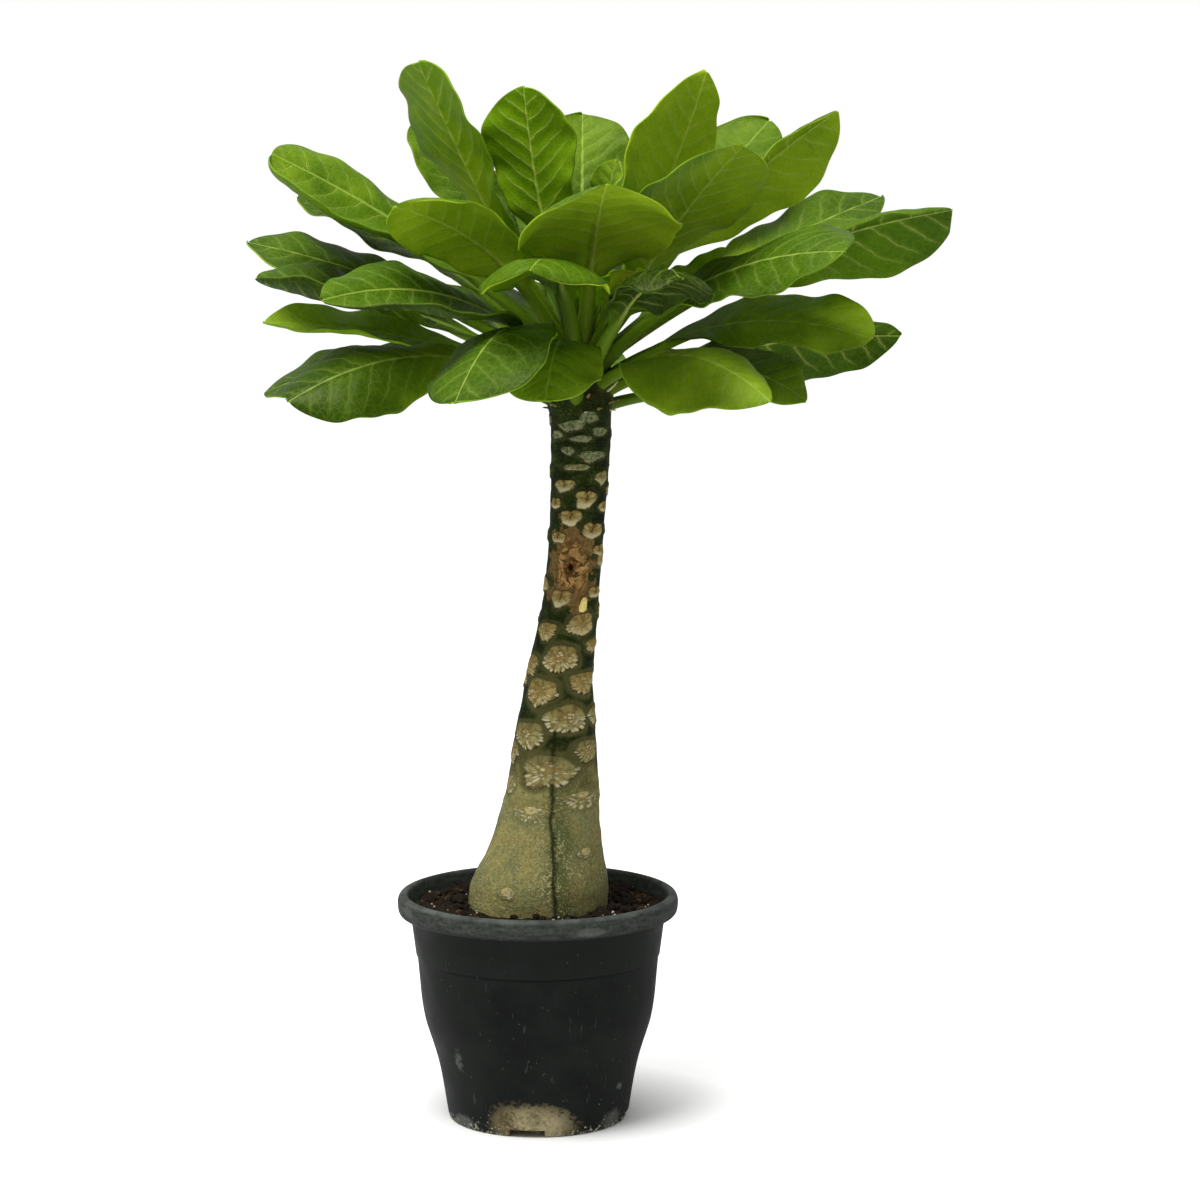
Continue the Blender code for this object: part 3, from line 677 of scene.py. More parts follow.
def leaf_skin(name, upper):
    """Leaf skin under a thin waxy cuticle, which gives a soft broad sheen over living flesh.

    The upper side has pale sunken veins. The underside is duller, with raised veins. Flesh is
    painted with shade and light as each leaf says: deep green in shade near the stalk, and
    yellower where light shows through it.
    """
    made, add, dress = new_finish(name, 0.5, 1.45)
    place = add(ATTRIBUTE, attribute_name="leaf_mm")
    _, from_root, _ = add(SPLIT, (place,)).node.outputs
    (veins, rib, margin), (stalk, top_light_and_shade, under_light_and_shade) = (
        add(SPLIT, (add(ATTRIBUTE, attribute_name=name),)).node.outputs
        for name in ("leaf_lines", "leaf_tone_and_shade")
    )
    # Side veins every 14 to 18 mm wander a little, and fade towards the margin
    wander = add(NOISE, {"Vector": place, "Scale": 1 / 16, "Detail": 2, "Roughness": 0.5})
    wander = add(TIMES_PLUS, (add(MINUS, (wander, 0.5)), 0.6, veins))
    beside = add(MATH, (wander, 0.5), operation="PINGPONG")
    fade = add(SOFT_RANGE, (margin, 0.55, 0.95, 1, 0))
    fade = add(MINUS, (fade, stalk), use_clamp=True)
    vein, flank = (add(SOFT_RANGE, (beside, *width, 1, 0)) for width in ((0.002, 0.032), (0, 0.2)))
    vein, flank = (add(TIMES, (line, fade)) for line in (vein, flank))
    midrib = add(SOFT_RANGE, (rib, 0.15, 0.7, 1, 0))
    # Net of small veins between them, drawn at 4.5 mm because the real 1 mm net is too fine to show
    drift = add(NOISE, {"Vector": place, "Scale": 1 / 5, "Detail": 1}, output="Color")
    drifted = add(VECTOR, (drift, (3, 3, 3), place), operation="MULTIPLY_ADD")
    net = add(CELLS, {"Vector": drifted, "Scale": 1 / 4.5}, feature="DISTANCE_TO_EDGE")
    net = add(SOFT_RANGE, (net, 0.01, 0.13, 1, 0))
    # Flesh: painted light and shade, uneven in patches of about 40 mm, with a grain of about 2 mm
    patch = add(NOISE, {"Vector": place, "Scale": 1 / 40, "Detail": 3, "Roughness": 0.55})
    patch = add(RANGE, (patch, 0.3, 0.7, -0.14, 0.14))
    depth = add(PLUS, (top_light_and_shade if upper else under_light_and_shade, patch))
    flesh = add(RAMP, (depth,))
    stops = flesh.node.color_ramp.elements
    tints = LEAF_TOP_SHADE_TO_LIGHT if upper else LEAF_UNDER_SHADE_TO_LIGHT
    stops[0].color, stops[1].color = tints[0], tints[3]
    stops.new(0.66).color = tints[2]
    stops.new(0.33).color = tints[1]
    grain = add(NOISE, {"Vector": place, "Scale": 1 / 2, "Detail": 2})
    grain = add(RANGE, (grain, 0.3, 0.7, 0.9, 1.1))
    flesh = add(SCALE, {0: flesh, 3: grain})
    pale = LEAF_TOP_VEIN if upper else LEAF_UNDER_VEIN
    # Veins show least where the flesh is darkest, in deep painted shade
    least, most = (0.18, 0.4) if upper else (0.27, 0.62)
    show = add(RANGE, (depth, 0, 0.8, least, most))
    edge = add(SOFT_RANGE, (margin, 0.97, 1))
    net_part, rib_part = (0.07, 0.55) if upper else (0.03, 0.4)
    for line, part in (
        (net, net_part), (flank, 0.1), (vein, show), (midrib, rib_part), (edge, 0.08),
    ):
        flesh = add(BLEND, {0: add(TIMES, (line, part)), 6: flesh, 7: pale})
    # Stalks darken towards the stem, where the leaves shade each other
    shaded = add(SOFT_RANGE, (from_root, 0, STALK_SHADE_REACH, 0.4, 1))
    stalk_tint = add(BLEND, {0: shaded, 6: LEAF_STALK_SHADE, 7: LEAF_STALK})
    stalk_share = add(TIMES, (stalk, 0.88))
    flesh = add(BLEND, {0: stalk_share, 6: flesh, 7: stalk_tint})
    # Relief of the veins and the net, sunk above and raised below, with the skin puffed between
    side = -1 if upper else 1
    height = 0
    for line, rise in ((vein, 1), (net, 0.15), (flank, 0.2)):
        height = add(TIMES_PLUS, (line, side * rise, height))
    if upper:
        dress({"Roughness": add(RANGE, (patch, -0.14, 0.14, 0.4, 0.52))})
    dress({
        "Base Color": flesh,
        "Normal": add(BUMP, {"Height": height, "Distance": 0.0005, "Strength": 0.8}),
        "Subsurface Weight": 0.22,
        "Subsurface Radius": (0.6, 1, 0.15),
        "Subsurface Scale": 0.002,
        "Specular IOR Level": 0.2 if upper else 0.08,
        "Specular Tint": LEAF_WAX,
    })
    return made


def make_leaves():
    """Every leaf that has a solid of its own, and the young ones over the growing tip."""
    skins = (leaf_skin("leaf upper skin, waxy", True), leaf_skin("leaf underside, matte", False))
    for number, leaf in enumerate(LEAVES, 1):
        node = f"leaf_{number:02d}"
        mesh = leaf_mesh(f"living_{node}", leaf, number)
        new_piece(f"living_{node}", mesh, skins, node)
    make_young_leaves(skins)


def make_young_leaves(skins):
    """A rosette of small upright leaves that close over the growing tip, seen from above."""
    bm = bmesh.new()
    for number in range(YOUNG_LEAVES):
        outer = number / (YOUNG_LEAVES - 1)
        size, lean, foot_height, foot_reach = (
            np.interp(outer, (0, 1), ends)
            for ends in (YOUNG_SIZES, YOUNG_LEANS, YOUNG_FOOT_HEIGHTS, YOUNG_FOOT_REACHES)
        )
        lean = math.radians(lean)
        turn = math.radians(number * GOLDEN_ANGLE)
        aside = np.array((math.cos(turn), math.sin(turn), 0.0))
        offset, radius = stem_at(YOUNG_LEVEL)
        middle = np.array((offset, 0.0, 0.0))
        tip = middle + aside * (radius + YOUNG_LENGTH * math.sin(lean))
        tip[2] = YOUNG_LEVEL + YOUNG_LENGTH * math.cos(lean)
        leaf = Leaf(tuple(tip), YOUNG_LEVEL, 8, 58, cup=(9, 9), top=(0.62, 0.8), under=(0.6, 0.8))
        mesh = leaf_mesh("young_leaf", leaf, len(LEAVES) + 1 + number, YOUNG_COARSENESS)
        root = leaf_frame(leaf)[0]
        foot = middle + aside * foot_reach
        foot[2] = foot_height
        points = np.empty(3 * len(mesh.vertices))
        mesh.vertices.foreach_get("co", points)
        points = foot + (points.reshape(-1, 3) / MM - root) * size
        mesh.vertices.foreach_set("co", (points * MM).ravel())
        bm.from_mesh(mesh)
        bpy.data.meshes.remove(mesh)
    new_piece("young_leaves", mesh_from(bm, "young_leaves"), skins)


# Stem


def spiral_scars():
    """Scars on the sides and the back, larger and further apart down the stem."""
    scars = []
    height = SPIRAL_TOP
    number = 0
    while height > SPIRAL_END:
        turn = (number * GOLDEN_ANGLE + 180) % 360 - 180
        age = (SPIRAL_TOP - height) / (SPIRAL_TOP - SPIRAL_END)
        if abs(turn) > FRONT_HALF_ANGLE:
            scars.append((height, turn, 11 + 15 * age, 7 + 8 * age))
        height -= 2 + 5 * age
        number += 1
    return scars


def away_from(turns, angle):
    """Angle in radians from a turn in degrees to the right of the front."""
    return (angle - math.radians(turns) + math.pi) % (2 * math.pi) - math.pi


def from_seam(angle, height, offset, radius):
    """How far round the stem each point is from the dark seam down the front."""
    heights, across = np.array(SEAM).T
    side = (np.interp(height, heights, across) - offset) / radius
    seam_angle = np.arcsin(np.clip(side, -0.95, 0.95))
    return (angle - seam_angle) * radius + 0.5 * np.sin(height / 7) + 0.35 * np.sin(height / 2.9)


def shield(across, up):
    """1 on the outline of a leaf scar: a gently arched top over a rounded lower lip."""
    lower = np.hypot(across, (up - 0.25) / 1.25)
    upper = (np.abs(across) ** 2.4 + (np.abs(up - 0.25) / 0.75) ** 2.4) ** (1 / 2.4)
    return np.where(up < 0.25, lower, upper)


def scar_pads(angle, height, radius, rough):
    """How high every scar's pad stands, each point's place on its scar, and that scar's facts."""
    rise = np.zeros_like(height)
    ragged = unevenness(rough, 7, 33)
    best = np.full(height.shape, 9.0)
    marks = np.zeros((*height.shape, 3))
    facts = np.zeros((*height.shape, 3))
    for number, (level, turn, width, tall) in enumerate([*FRONT_SCARS, *spiral_scars()]):
        across = 2 * away_from(turn, angle) * radius / width
        up = 2 * (height - level) / tall
        swirl = np.arctan2(up, across)
        age = np.clip((SCAR_TOP - level) / (SCAR_TOP - SCAR_LAST), 0, 1)
        # The youngest scars, near the leaves, are the most ragged
        skew = 0.07 * np.sin(3 * swirl + 1.7 * number) + 0.05 * np.sin(5 * swirl + 2.3 * number)
        skew = skew + (0.05 + 0.14 * (1 - smooth_step(0.1, 0.3, age))) * ragged
        reach = shield(across, up) * (1 + skew)
        # Those of middle age are heart shaped, with a notch on top
        notch = 0.24 * np.exp(-((across / 0.16) ** 2)) * smooth_step(0.3, 0.9, up)
        reach = reach + notch * smooth_step(0.05, 0.15, age) * (1 - smooth_step(0.42, 0.55, age))
        lip = 1 - smooth_step(0.86, 1.12, reach)
        gentle = 1 - smooth_step(0.4, 1.3, reach)
        pad = SCAR_RISE * np.where(up < 0.1, lip, 0.45 * lip + 0.55 * gentle)
        dish = 0.35 * np.exp(-((reach / 0.5) ** 2))
        rise = rise + (pad - dish) * (1 - 0.6 * smooth_step(0.75, 1, age))
        nearest = reach < best
        best = np.where(nearest, reach, best)
        marks[nearest] = np.stack((across, up, reach), -1)[nearest]
        inside = 1 - smooth_step(1.5, 2.0, reach)
        seed = np.full_like(reach, (number * 0.381) % 1)
        facts[nearest] = np.stack((inside, np.full_like(reach, age), seed), -1)[nearest]
    return rise, marks, facts


def wound_folds(angle, height, radius, rough):
    """How high the wound's crumpled ring stands, and how far out each point is: 1 on its edge."""
    level, turn, width, tall = WOUND
    across = 2 * away_from(turn, angle) * radius / width
    up = 2 * (height - level) / tall
    swirl = np.arctan2(up - 0.12, across + 0.1)
    wound = np.hypot(across + 0.1, up - 0.12) * (1 + 0.12 * np.sin(2 * swirl + 0.6))
    wound = wound + 0.14 * unevenness(rough, 10, 31) * smooth_step(0.15, 0.6, wound)
    reached = 1 - smooth_step(1.0, 1.45, wound)
    crumple = unevenness(rough, 5, 41)
    folds = np.sin(8.5 * wound + swirl + 1.3 * crumple)
    knot = WOUND_RING_RISE * np.exp(-(((wound - 0.55) / 0.42) ** 2)) + 0.55 * folds + 0.3 * crumple
    hole = WOUND_HOLE_DEPTH * (1 - smooth_step(0.06, 0.24, wound))
    return reached * knot - hole, wound


def leaf_feet(angle, height, radius):
    """1 where a leaf meets the stem, whose bark swells out there, and 0 away from it."""
    foot = np.zeros_like(height)
    for leaf in LEAVES:
        _, out, _, _ = leaf_frame(leaf)
        turn = math.degrees(math.atan2(out[0], -out[1]))
        across = away_from(turn, angle) * radius / LEAF_FOOT_HALF_WIDTH
        up = (height - leaf.level + 2.5) / LEAF_FOOT_HALF_HEIGHT
        foot = np.maximum(foot, np.exp(-(across**2) - up**2))
    return foot


def make_stem():
    """The swollen stem, with every scar as a raised pad, the old wound, and the seam."""
    angle, height = np.meshgrid(
        np.linspace(-math.pi, math.pi, STEM_COLUMNS + 1)[:-1],
        np.concatenate(
            (np.linspace(PEG_FOOT, PEG_TOP, 5)[:-1], np.linspace(PEG_TOP, STEM_TOP, STEM_ROWS))
        ),
    )
    offset, radius = stem_at(height)
    tip = np.sqrt(np.clip((STEM_TOP + 0.6 - height) / TIP_DOME, 0, 1))
    radius = radius * np.where(height > STEM_TOP - TIP_DOME, tip, 1)
    rough = np.stack((radius * np.sin(angle), -radius * np.cos(angle), height), -1)
    pads, marks, facts = scar_pads(angle, height, radius, rough)
    folds, wound = wound_folds(angle, height, radius, rough)
    foot = leaf_feet(angle, height, radius)
    rise = pads + folds + 0.5 * unevenness(rough, 34, 5) + 0.22 * unevenness(rough, 9, 6)
    seam = from_seam(angle, height, offset, radius)
    groove = np.exp(-((seam / SEAM_WIDTH) ** 2)) * smooth_step(*SEAM_GROOVE_STARTS, height)
    rise = rise - SEAM_DEPTH * groove
    rise = rise * smooth_step(*RELIEF_STARTS, height) * (1 - smooth_step(*RELIEF_ENDS, height))
    rise = rise + LEAF_FOOT_RISE * foot * (1 - smooth_step(*LEAF_FEET_END, height))
    radius = radius + rise
    points = np.stack((offset + radius * np.sin(angle), -radius * np.cos(angle), height), -1)
    rows, columns = angle.shape
    quads = hoop_faces(rows, columns).tolist()
    ends = [list(range(columns))[::-1], list(range((rows - 1) * columns, rows * columns))]
    mesh = bpy.data.meshes.new("living_stem")
    mesh.from_pydata((points.reshape(-1, 3) * MM).tolist(), [], [*quads, *ends])
    keep_vectors(mesh, "scar_place", marks.reshape(-1, 3))
    keep_vectors(mesh, "scar_facts", facts.reshape(-1, 3))
    keep_vectors(mesh, "bark_facts", np.stack((seam, wound, foot), -1).reshape(-1, 3))
    new_piece("living_stem", mesh, [bark_finish()], "stem")


def bark_finish():
    """Bark of a succulent stem: dull, dark green above and olive below, with corky pale scars.

    The cork scatters light with no gloss, so the scars read as dry and pale on a darker skin.
    """
    made, add, dress = new_finish("succulent bark with corky scars", 0.8, 1.4)
    place = world_millimetres(add)
    side, _, height = add(SPLIT, (place,)).node.outputs
    (across, up, reach), (near, age, seed), (seam, wound, foot) = (
        add(SPLIT, (add(ATTRIBUTE, attribute_name=name),)).node.outputs
        for name in ("scar_place", "scar_facts", "bark_facts")
    )
    # Skin: mossy patches of 24 mm, clouds of 11 mm, and a grain of 1 to 2 mm
    broad = add(NOISE, {"Vector": place, "Scale": 1 / 24, "Detail": 5, "Roughness": 0.7})
    cloud = add(NOISE, {"Vector": place, "Scale": 1 / 11, "Detail": 4, "Roughness": 0.65})
    fleck = add(NOISE, {"Vector": place, "Scale": 1 / 2.2, "Detail": 3, "Roughness": 0.6})
    skin = add(NOISE, {"Vector": place, "Scale": 1 / 1.1, "Detail": 2, "Distortion": 1.5})
    speck = add(RANGE, (add(PLUS, (fleck, skin)), 0.7, 1.3, 0.6, 1.4))
    # Dark green with lighter clouds above, and smooth olive below about 200 mm,
    # which painted shade darkens towards the right
    ragged = add(TIMES_PLUS, (cloud, 60, height))
    low = add(SOFT_RANGE, (ragged, *BARK_TURNS_GREEN, 1, 0))
    green = add(RANGE, (cloud, 0.36, 0.64))
    shade = add(RANGE, (side, -30, 42))
    mossy = add(SOFT_RANGE, (broad, 0.42, 0.62, 0, 0.75))
    upper_bark = add(BLEND, {0: green, 6: BARK_DARK, 7: BARK_GREEN})
    lower_bark = add(BLEND, {0: shade, 6: BARK_OLIVE, 7: BARK_OLIVE_PAINTED_SHADE})
    lower_bark = add(BLEND, {0: mossy, 6: lower_bark, 7: BARK_GREY_GREEN})
    bark = add(BLEND, {0: low, 6: upper_bark, 7: lower_bark})
    # Mossy green strip along the right of the seam, low on the swollen foot
    strip = add(MINUS, (add(TIMES_PLUS, (cloud, 16, seam)), 12))
    strip = add(SOFT_RANGE, (add(UNSIGNED, (strip,)), 2, 11, 0.6, 0))
    strip = add(TIMES, (strip, low))
    bark = add(BLEND, {0: strip, 6: bark, 7: BARK_MOSS})
    bark = add(SCALE, {0: bark, 3: speck})
    # Each scar by its age: green-grey near the leaves, then cream, then tan, at last grown over
    cream_by, tan_by, faint_by = (add(SOFT_RANGE, (age, *ages)) for ages in SCAR_AGES)
    young = add(MINUS, (1, cream_by))
    not_tan = add(MINUS, (1, tan_by))
    # Soft halo, 3 to 6 mm wide round the older ones
    halo = add(SOFT_RANGE, (add(TIMES_PLUS, (cloud, -0.45, reach)), 0.98, 1.3, 0.9, 0))
    aged = add(RANGE, (age, 0.4, 0.65, 0.22, 1))
    grown = add(RANGE, (faint_by, 0, 1, 1, 0.3))
    for share in (near, aged, grown):
        halo = add(TIMES, (halo, share))
    # Beads of cork in broken rows that follow the lower lip, about 1 mm each
    bumpy = add(TIMES_PLUS, (fleck, 0.26, reach))
    below = add(SOFT_RANGE, (up, 0.35, -0.1))
    spread = add(MATH, (across, up), operation="ARCTAN2")
    rows = add(JOIN, [add(TIMES, pair) for pair in ((spread, 3.6), (reach, 2.3), (seed, 40))])
    beads = add(CELLS, {"Vector": rows, "Scale": 1, "Randomness": 0.5})
    beads = add(SOFT_RANGE, (add(TIMES_PLUS, (fleck, 0.3, beads)), 0.46, 0.64, 1, 0))
    outer = add(SOFT_RANGE, (bumpy, 0.56, 0.74))
    lip_band = add(SOFT_RANGE, (bumpy, 1.16, 1.26, 1, 0))
    for share in (outer, below, near, lip_band):
        beads = add(TIMES, (beads, share))
    # A rosette of small rings in the middle, where the leaf's veins ran through
    dots = add(CELLS, {"Vector": add(JOIN, (across, up, seed)), "Scale": 3.6, "Randomness": 0.8})
    dots = add(SOFT_RANGE, (dots, 0.2, 0.45, 1, 0))
    inner = add(TIMES_PLUS, (faint_by, -0.3, bumpy))
    middle = add(SOFT_RANGE, (inner, 0.44, 0.58, 1, 0))
    for share in (middle, tan_by):
        dots = add(TIMES, (dots, share))
    # Cork: brown grain, rays out of a darker core, moss on the youngest and a cream lower lobe
    olive_by = add(SOFT_RANGE, (height, *SCARS_TURN_OLIVE, 0, 0.75))
    mottle = add(RANGE, (fleck, 0.36, 0.6, 0.3575, 0))
    rays = add(TIMES_PLUS, (cloud, 22, add(TIMES, (spread, 8))))
    rays = add(SOFT_RANGE, (add(SINE, (rays,)), 0.1, 0.9, 0, 0.6))
    ring = add(SOFT_RANGE, (bumpy, 0.25, 0.45))
    for share in (ring, cream_by):
        rays = add(TIMES, (rays, share))
    mottled = add(SOFT_RANGE, (speck, 1.1, 0.75, 0, 0.8))
    mottled = add(TIMES, (mottled, young))
    core = add(SOFT_RANGE, (bumpy, 0.35, 0.75, 0.6, 0))
    core = add(TIMES, (core, cream_by))
    lobe = add(SOFT_RANGE, (up, 0, -0.7, 0, 0.7))
    for share in (cream_by, not_tan):
        lobe = add(TIMES, (lobe, share))
    # Brown crack down the middle of those of middle age, from the notch
    veer = add(MINUS, (add(TIMES_PLUS, (cloud, 1.4, across)), 0.7))
    crack = add(SOFT_RANGE, (add(UNSIGNED, (veer,)), 0.03, 0.15, 0.85, 0))
    tall = add(SOFT_RANGE, (up, -0.5, 0.1))
    for share in (tall, not_tan, cream_by):
        crack = add(TIMES, (crack, share))
    cork = SCAR_YOUNG
    for share, tint in (
        (cream_by, SCAR_PALE), (tan_by, SCAR_OLD), (olive_by, SCAR_OLIVE), (mottle, SCAR_BROWN),
        (rays, SCAR_BROWN), (mottled, SCAR_MOSSY), (core, SCAR_CORE), (lobe, SCAR_CREAM),
        (crack, SCAR_CRACK),
    ):
        cork = add(BLEND, {0: share, 6: cork, 7: tint})
    # Painted shadow under the lower lip: a reddish-brown line
    lip = add(UNSIGNED, (add(MINUS, (bumpy, 1.17)),))
    lip = add(SOFT_RANGE, (lip, 0.02, 0.09, 0.7, 0))
    lip = add(TIMES_PLUS, (faint_by, -1, lip), use_clamp=True)
    for share in (below, near):
        lip = add(TIMES, (lip, share))
    # The lowest scars are nearly grown over: their beads and a pale rosette still show
    top_half = add(SOFT_RANGE, (up, 0.15, 0.75, 0, 0.45))
    top_half = add(TIMES, (top_half, tan_by))
    over = add(RANGE, (faint_by, 0, 1, 1, 0.2))
    over = add(MINUS, (over, top_half), use_clamp=True)
    body = add(SOFT_RANGE, (bumpy, 1, 1.16, 1, 0))
    for share in (near, over):
        body = add(TIMES, (body, share))
    lowest = add(RANGE, (height, *ROSETTES_WIDEN, 0, 0.3))
    rosette = add(SOFT_RANGE, (add(MINUS, (bumpy, lowest)), 0.38, 0.5, 0.9, 0))
    lumps = add(RANGE, (speck, 0.75, 1, 0.3, 1))
    for share in (faint_by, near, lumps):
        rosette = add(TIMES, (rosette, share))
    pale = add(MATH, (beads, dots), operation="MAXIMUM")
    older = add(RANGE, (tan_by, 0, 1, 0.25, 1))
    for share in (0.9, older):
        pale = add(TIMES, (pale, share))
    # Cream corky specks, 0.5 to 1.5 mm, thick on the swollen foot and beside the seam
    warped = add(NOISE, {"Vector": place, "Scale": 1 / 3, "Detail": 1}, output="Color")
    warped = add(VECTOR, (warped, (3, 3, 2), place), operation="MULTIPLY_ADD")
    speckle = add(CELLS, {"Vector": warped, "Scale": 1 / 1.6, "Randomness": 1})
    dense = add(SOFT_RANGE, (add(UNSIGNED, (seam,)), 2, 15, 0.12, 0))
    speckle = add(MINUS, (speckle, add(TIMES, (dense, low))))
    speckle = add(SOFT_RANGE, (add(TIMES_PLUS, (cloud, -0.9, speckle)), -0.3, -0.14, 1, 0))
    lower = add(RANGE, (ragged, *SPECKS_THIN_OUT, 0.8, 0.06))
    speckle = add(TIMES, (speckle, lower))
    # Dark green seam, 1.5 to 3 mm wide, that stops at the scars and fades out upwards
    line = add(MINUS, (add(TIMES_PLUS, (fleck, 3.4, seam)), 1.7))
    line = add(SOFT_RANGE, (add(UNSIGNED, (line,)), 0.3, 2.3, 0.85, 0))
    seam_end = add(SOFT_RANGE, (height, *SEAM_SETS_IN))
    covered = add(TIMES_PLUS, (body, -0.75, 1))
    for share in (seam_end, covered):
        line = add(TIMES, (line, share))
    # Old wound: crumpled folds of dry wood round a small red-brown hole
    crumple = add(NOISE, {"Vector": place, "Scale": 1 / 15, "Detail": 1.5, "Distortion": 1.3})
    crumple = add(UNSIGNED, (add(MINUS, (crumple, 0.5)),))
    crease = add(SOFT_RANGE, (crumple, 0.006, 0.05, 0.7, 0))
    folds = add(TIMES_PLUS, (crumple, 26, add(TIMES, (wound, 8.5))))
    folds = add(RANGE, (add(SINE, (folds,)), -0.9, 0.7))
    bright = add(SOFT_RANGE, (fleck, 0.52, 0.7, 0, 0.7))
    hole = add(SOFT_RANGE, (wound, 0.1, 0.24, 1, 0))
    dry = WOUND_BROWN
    for share, tint in (
        (folds, WOUND_TAN), (bright, WOUND_PALE), (crease, WOUND_CREASE), (hole, WOUND_HOLE),
    ):
        dry = add(BLEND, {0: share, 6: dry, 7: tint})
    # Worn bark in a wider patch round the wound, but not over the scars
    edge = add(TIMES_PLUS, (cloud, 1.3, wound))
    torn = add(SOFT_RANGE, (edge, 1.45, 1.85, 1, 0))
    worn = add(SOFT_RANGE, (add(TIMES_PLUS, (cloud, 3.4, edge)), 3.75, 4.1, 0.85, 0))
    worn = add(TIMES, (worn, add(TIMES_PLUS, (body, -0.8, 1))))
    worn_bark = add(SCALE, {0: WOUND_BARK[:3], 3: speck})
    # Dry brown leaf bases among the leaves, and dull green where the bark swells to a leaf
    dried = add(SOFT_RANGE, (height, *BARK_DRIES, 0, 0.75))
    sprout = add(SOFT_RANGE, (foot, 0.3, 0.85, 0, 0.75))
    for share, tint in (
        (halo, SCAR_HALO), (lip, SCAR_LIP_SHADOW), (body, cork), (rosette, SCAR_ROSETTE),
        (pale, SCAR_CREAM), (speckle, BARK_SPECK), (line, BARK_SEAM), (worn, worn_bark),
        (torn, dry), (dried, BARK_DRIED), (sprout, LEAF_FOOT_GREEN),
    ):
        bark = add(BLEND, {0: share, 6: bark, 7: tint})
    relief = 0
    for part, rise in ((speck, 0.6), (body, 1.1), (pale, 0.8), (crack, -0.8), (speckle, 0.4)):
        relief = add(TIMES_PLUS, (part, rise, relief))
    dress({
        "Base Color": bark,
        "Roughness": add(RANGE, (body, 0, 1, 0.68, 0.9)),
        "Specular IOR Level": 0.12,
        "Normal": add(BUMP, {"Height": relief, "Distance": 0.0012, "Strength": 1}),
    })
    return made


def taper(bm, start, heading, length, width, droop, surface):
    """A small bent spur with a blunt end: the dried foot of a leaf, or a bud."""
    heading = unit(np.array(heading, float))
    side = unit(np.cross(heading, (0.0, 0.0, 1.0)) + 1e-6)
    over = np.cross(side, heading)
    rings = []
    turns = np.linspace(0, 2 * math.pi, SPUR_SIDES + 1)[:-1]
    around = [math.cos(turn) * side + SPUR_FLATNESS * math.sin(turn) * over for turn in turns]
    for share, fullness in SPUR_RINGS:
        middle = np.array(start) + heading * length * share
        middle[2] -= droop * length * share**2
        half = width / 2 * (1 - SPUR_TAPER * share) * fullness
        rings.append([bm.verts.new((middle + half * aside) * MM) for aside in around])
    for near, far in zip(rings, rings[1:]):
        for index in range(SPUR_SIDES):
            ahead = (index + 1) % SPUR_SIDES
            bm.faces.new((near[index], near[ahead], far[ahead], far[index]))
    bm.faces.new(rings[0][::-1])
    bm.faces.new(rings[-1])
    surface_faces([vertex for ring in rings for vertex in ring], surface)


def make_remains():
    """What is left of shed leaves among the stalks, and one bud that breaks from a scar."""
    bm = bmesh.new()
    for height, turn, length, width, droop, surface in REMAINS:
        angle = math.radians(turn)
        offset, radius = stem_at(height)
        out = np.array((math.sin(angle), -math.cos(angle), 0.55 if surface < 2 else 1.5))
        depth = radius - SPUR_SUNK
        start = (offset + depth * out[0], depth * out[1], height)
        taper(bm, start, out, length, width, droop, surface)
    bmesh.ops.recalc_face_normals(bm, faces=bm.faces)
    surfaces = [
        cork_finish("dried leaf foot", REMAINS_BROWN, REMAINS_TAN),
        cork_finish("bleached leaf foot", REMAINS_TAN, REMAINS_PALE),
        cork_finish("waxy yellow bud", BUD_YELLOW, BUD_PALE),
    ]
    mesh = mesh_from(bm, "shed_leaf_remains")
    new_piece("shed_leaf_remains", mesh, surfaces)


def cork_finish(name, dark, light):
    """Dried plant tissue: matte and fibrous, with streaks of about a millimetre."""
    made, add, dress = new_finish(name, 0.85, 1.4)
    place = world_millimetres(add)
    grain = add(NOISE, {"Vector": place, "Scale": 1 / 1.4, "Detail": 4, "Roughness": 0.7})
    share = add(SOFT_RANGE, (grain, 0.38, 0.62))
    skin = add(BLEND, {0: share, 6: dark, 7: light})
    dress({
        "Base Color": skin,
        "Specular IOR Level": 0.2,
        "Normal": add(BUMP, {"Height": grain, "Distance": 0.0005, "Strength": 0.8}),
    })
    return made


# Pot


def turned_mesh(name, profile, columns, shape=None):
    """A closed mesh turned from (radius, height) points that start and end on the axis."""
    profile = np.asarray(profile, float)
    angle = np.linspace(0, 2 * math.pi, columns + 1)[:-1]
    radius, turn = np.meshgrid(profile[:, 0], angle, indexing="ij")
    height = np.broadcast_to(profile[:, 1][:, None], radius.shape)
    points = np.stack((radius * np.cos(turn), radius * np.sin(turn), height), -1)
    if shape:
        points = shape(points)
    faces = hoop_faces(*radius.shape)[:, ::-1]
    mesh = bpy.data.meshes.new(name)
    mesh.from_pydata((points.reshape(-1, 3) * MM).tolist(), [], faces.tolist())
    bm = bmesh.new()
    bm.from_mesh(mesh)
    bmesh.ops.remove_doubles(bm, verts=bm.verts, dist=0.00001)
    bmesh.ops.recalc_face_normals(bm, faces=bm.faces)
    bm.to_mesh(mesh)
    bm.free()
    return mesh


def wall_radius(height):
    """Radius of the pot's outer wall at a height."""
    heights, radii = np.array(WALL_CURVE[::-1]).T
    return np.interp(height, heights, radii)


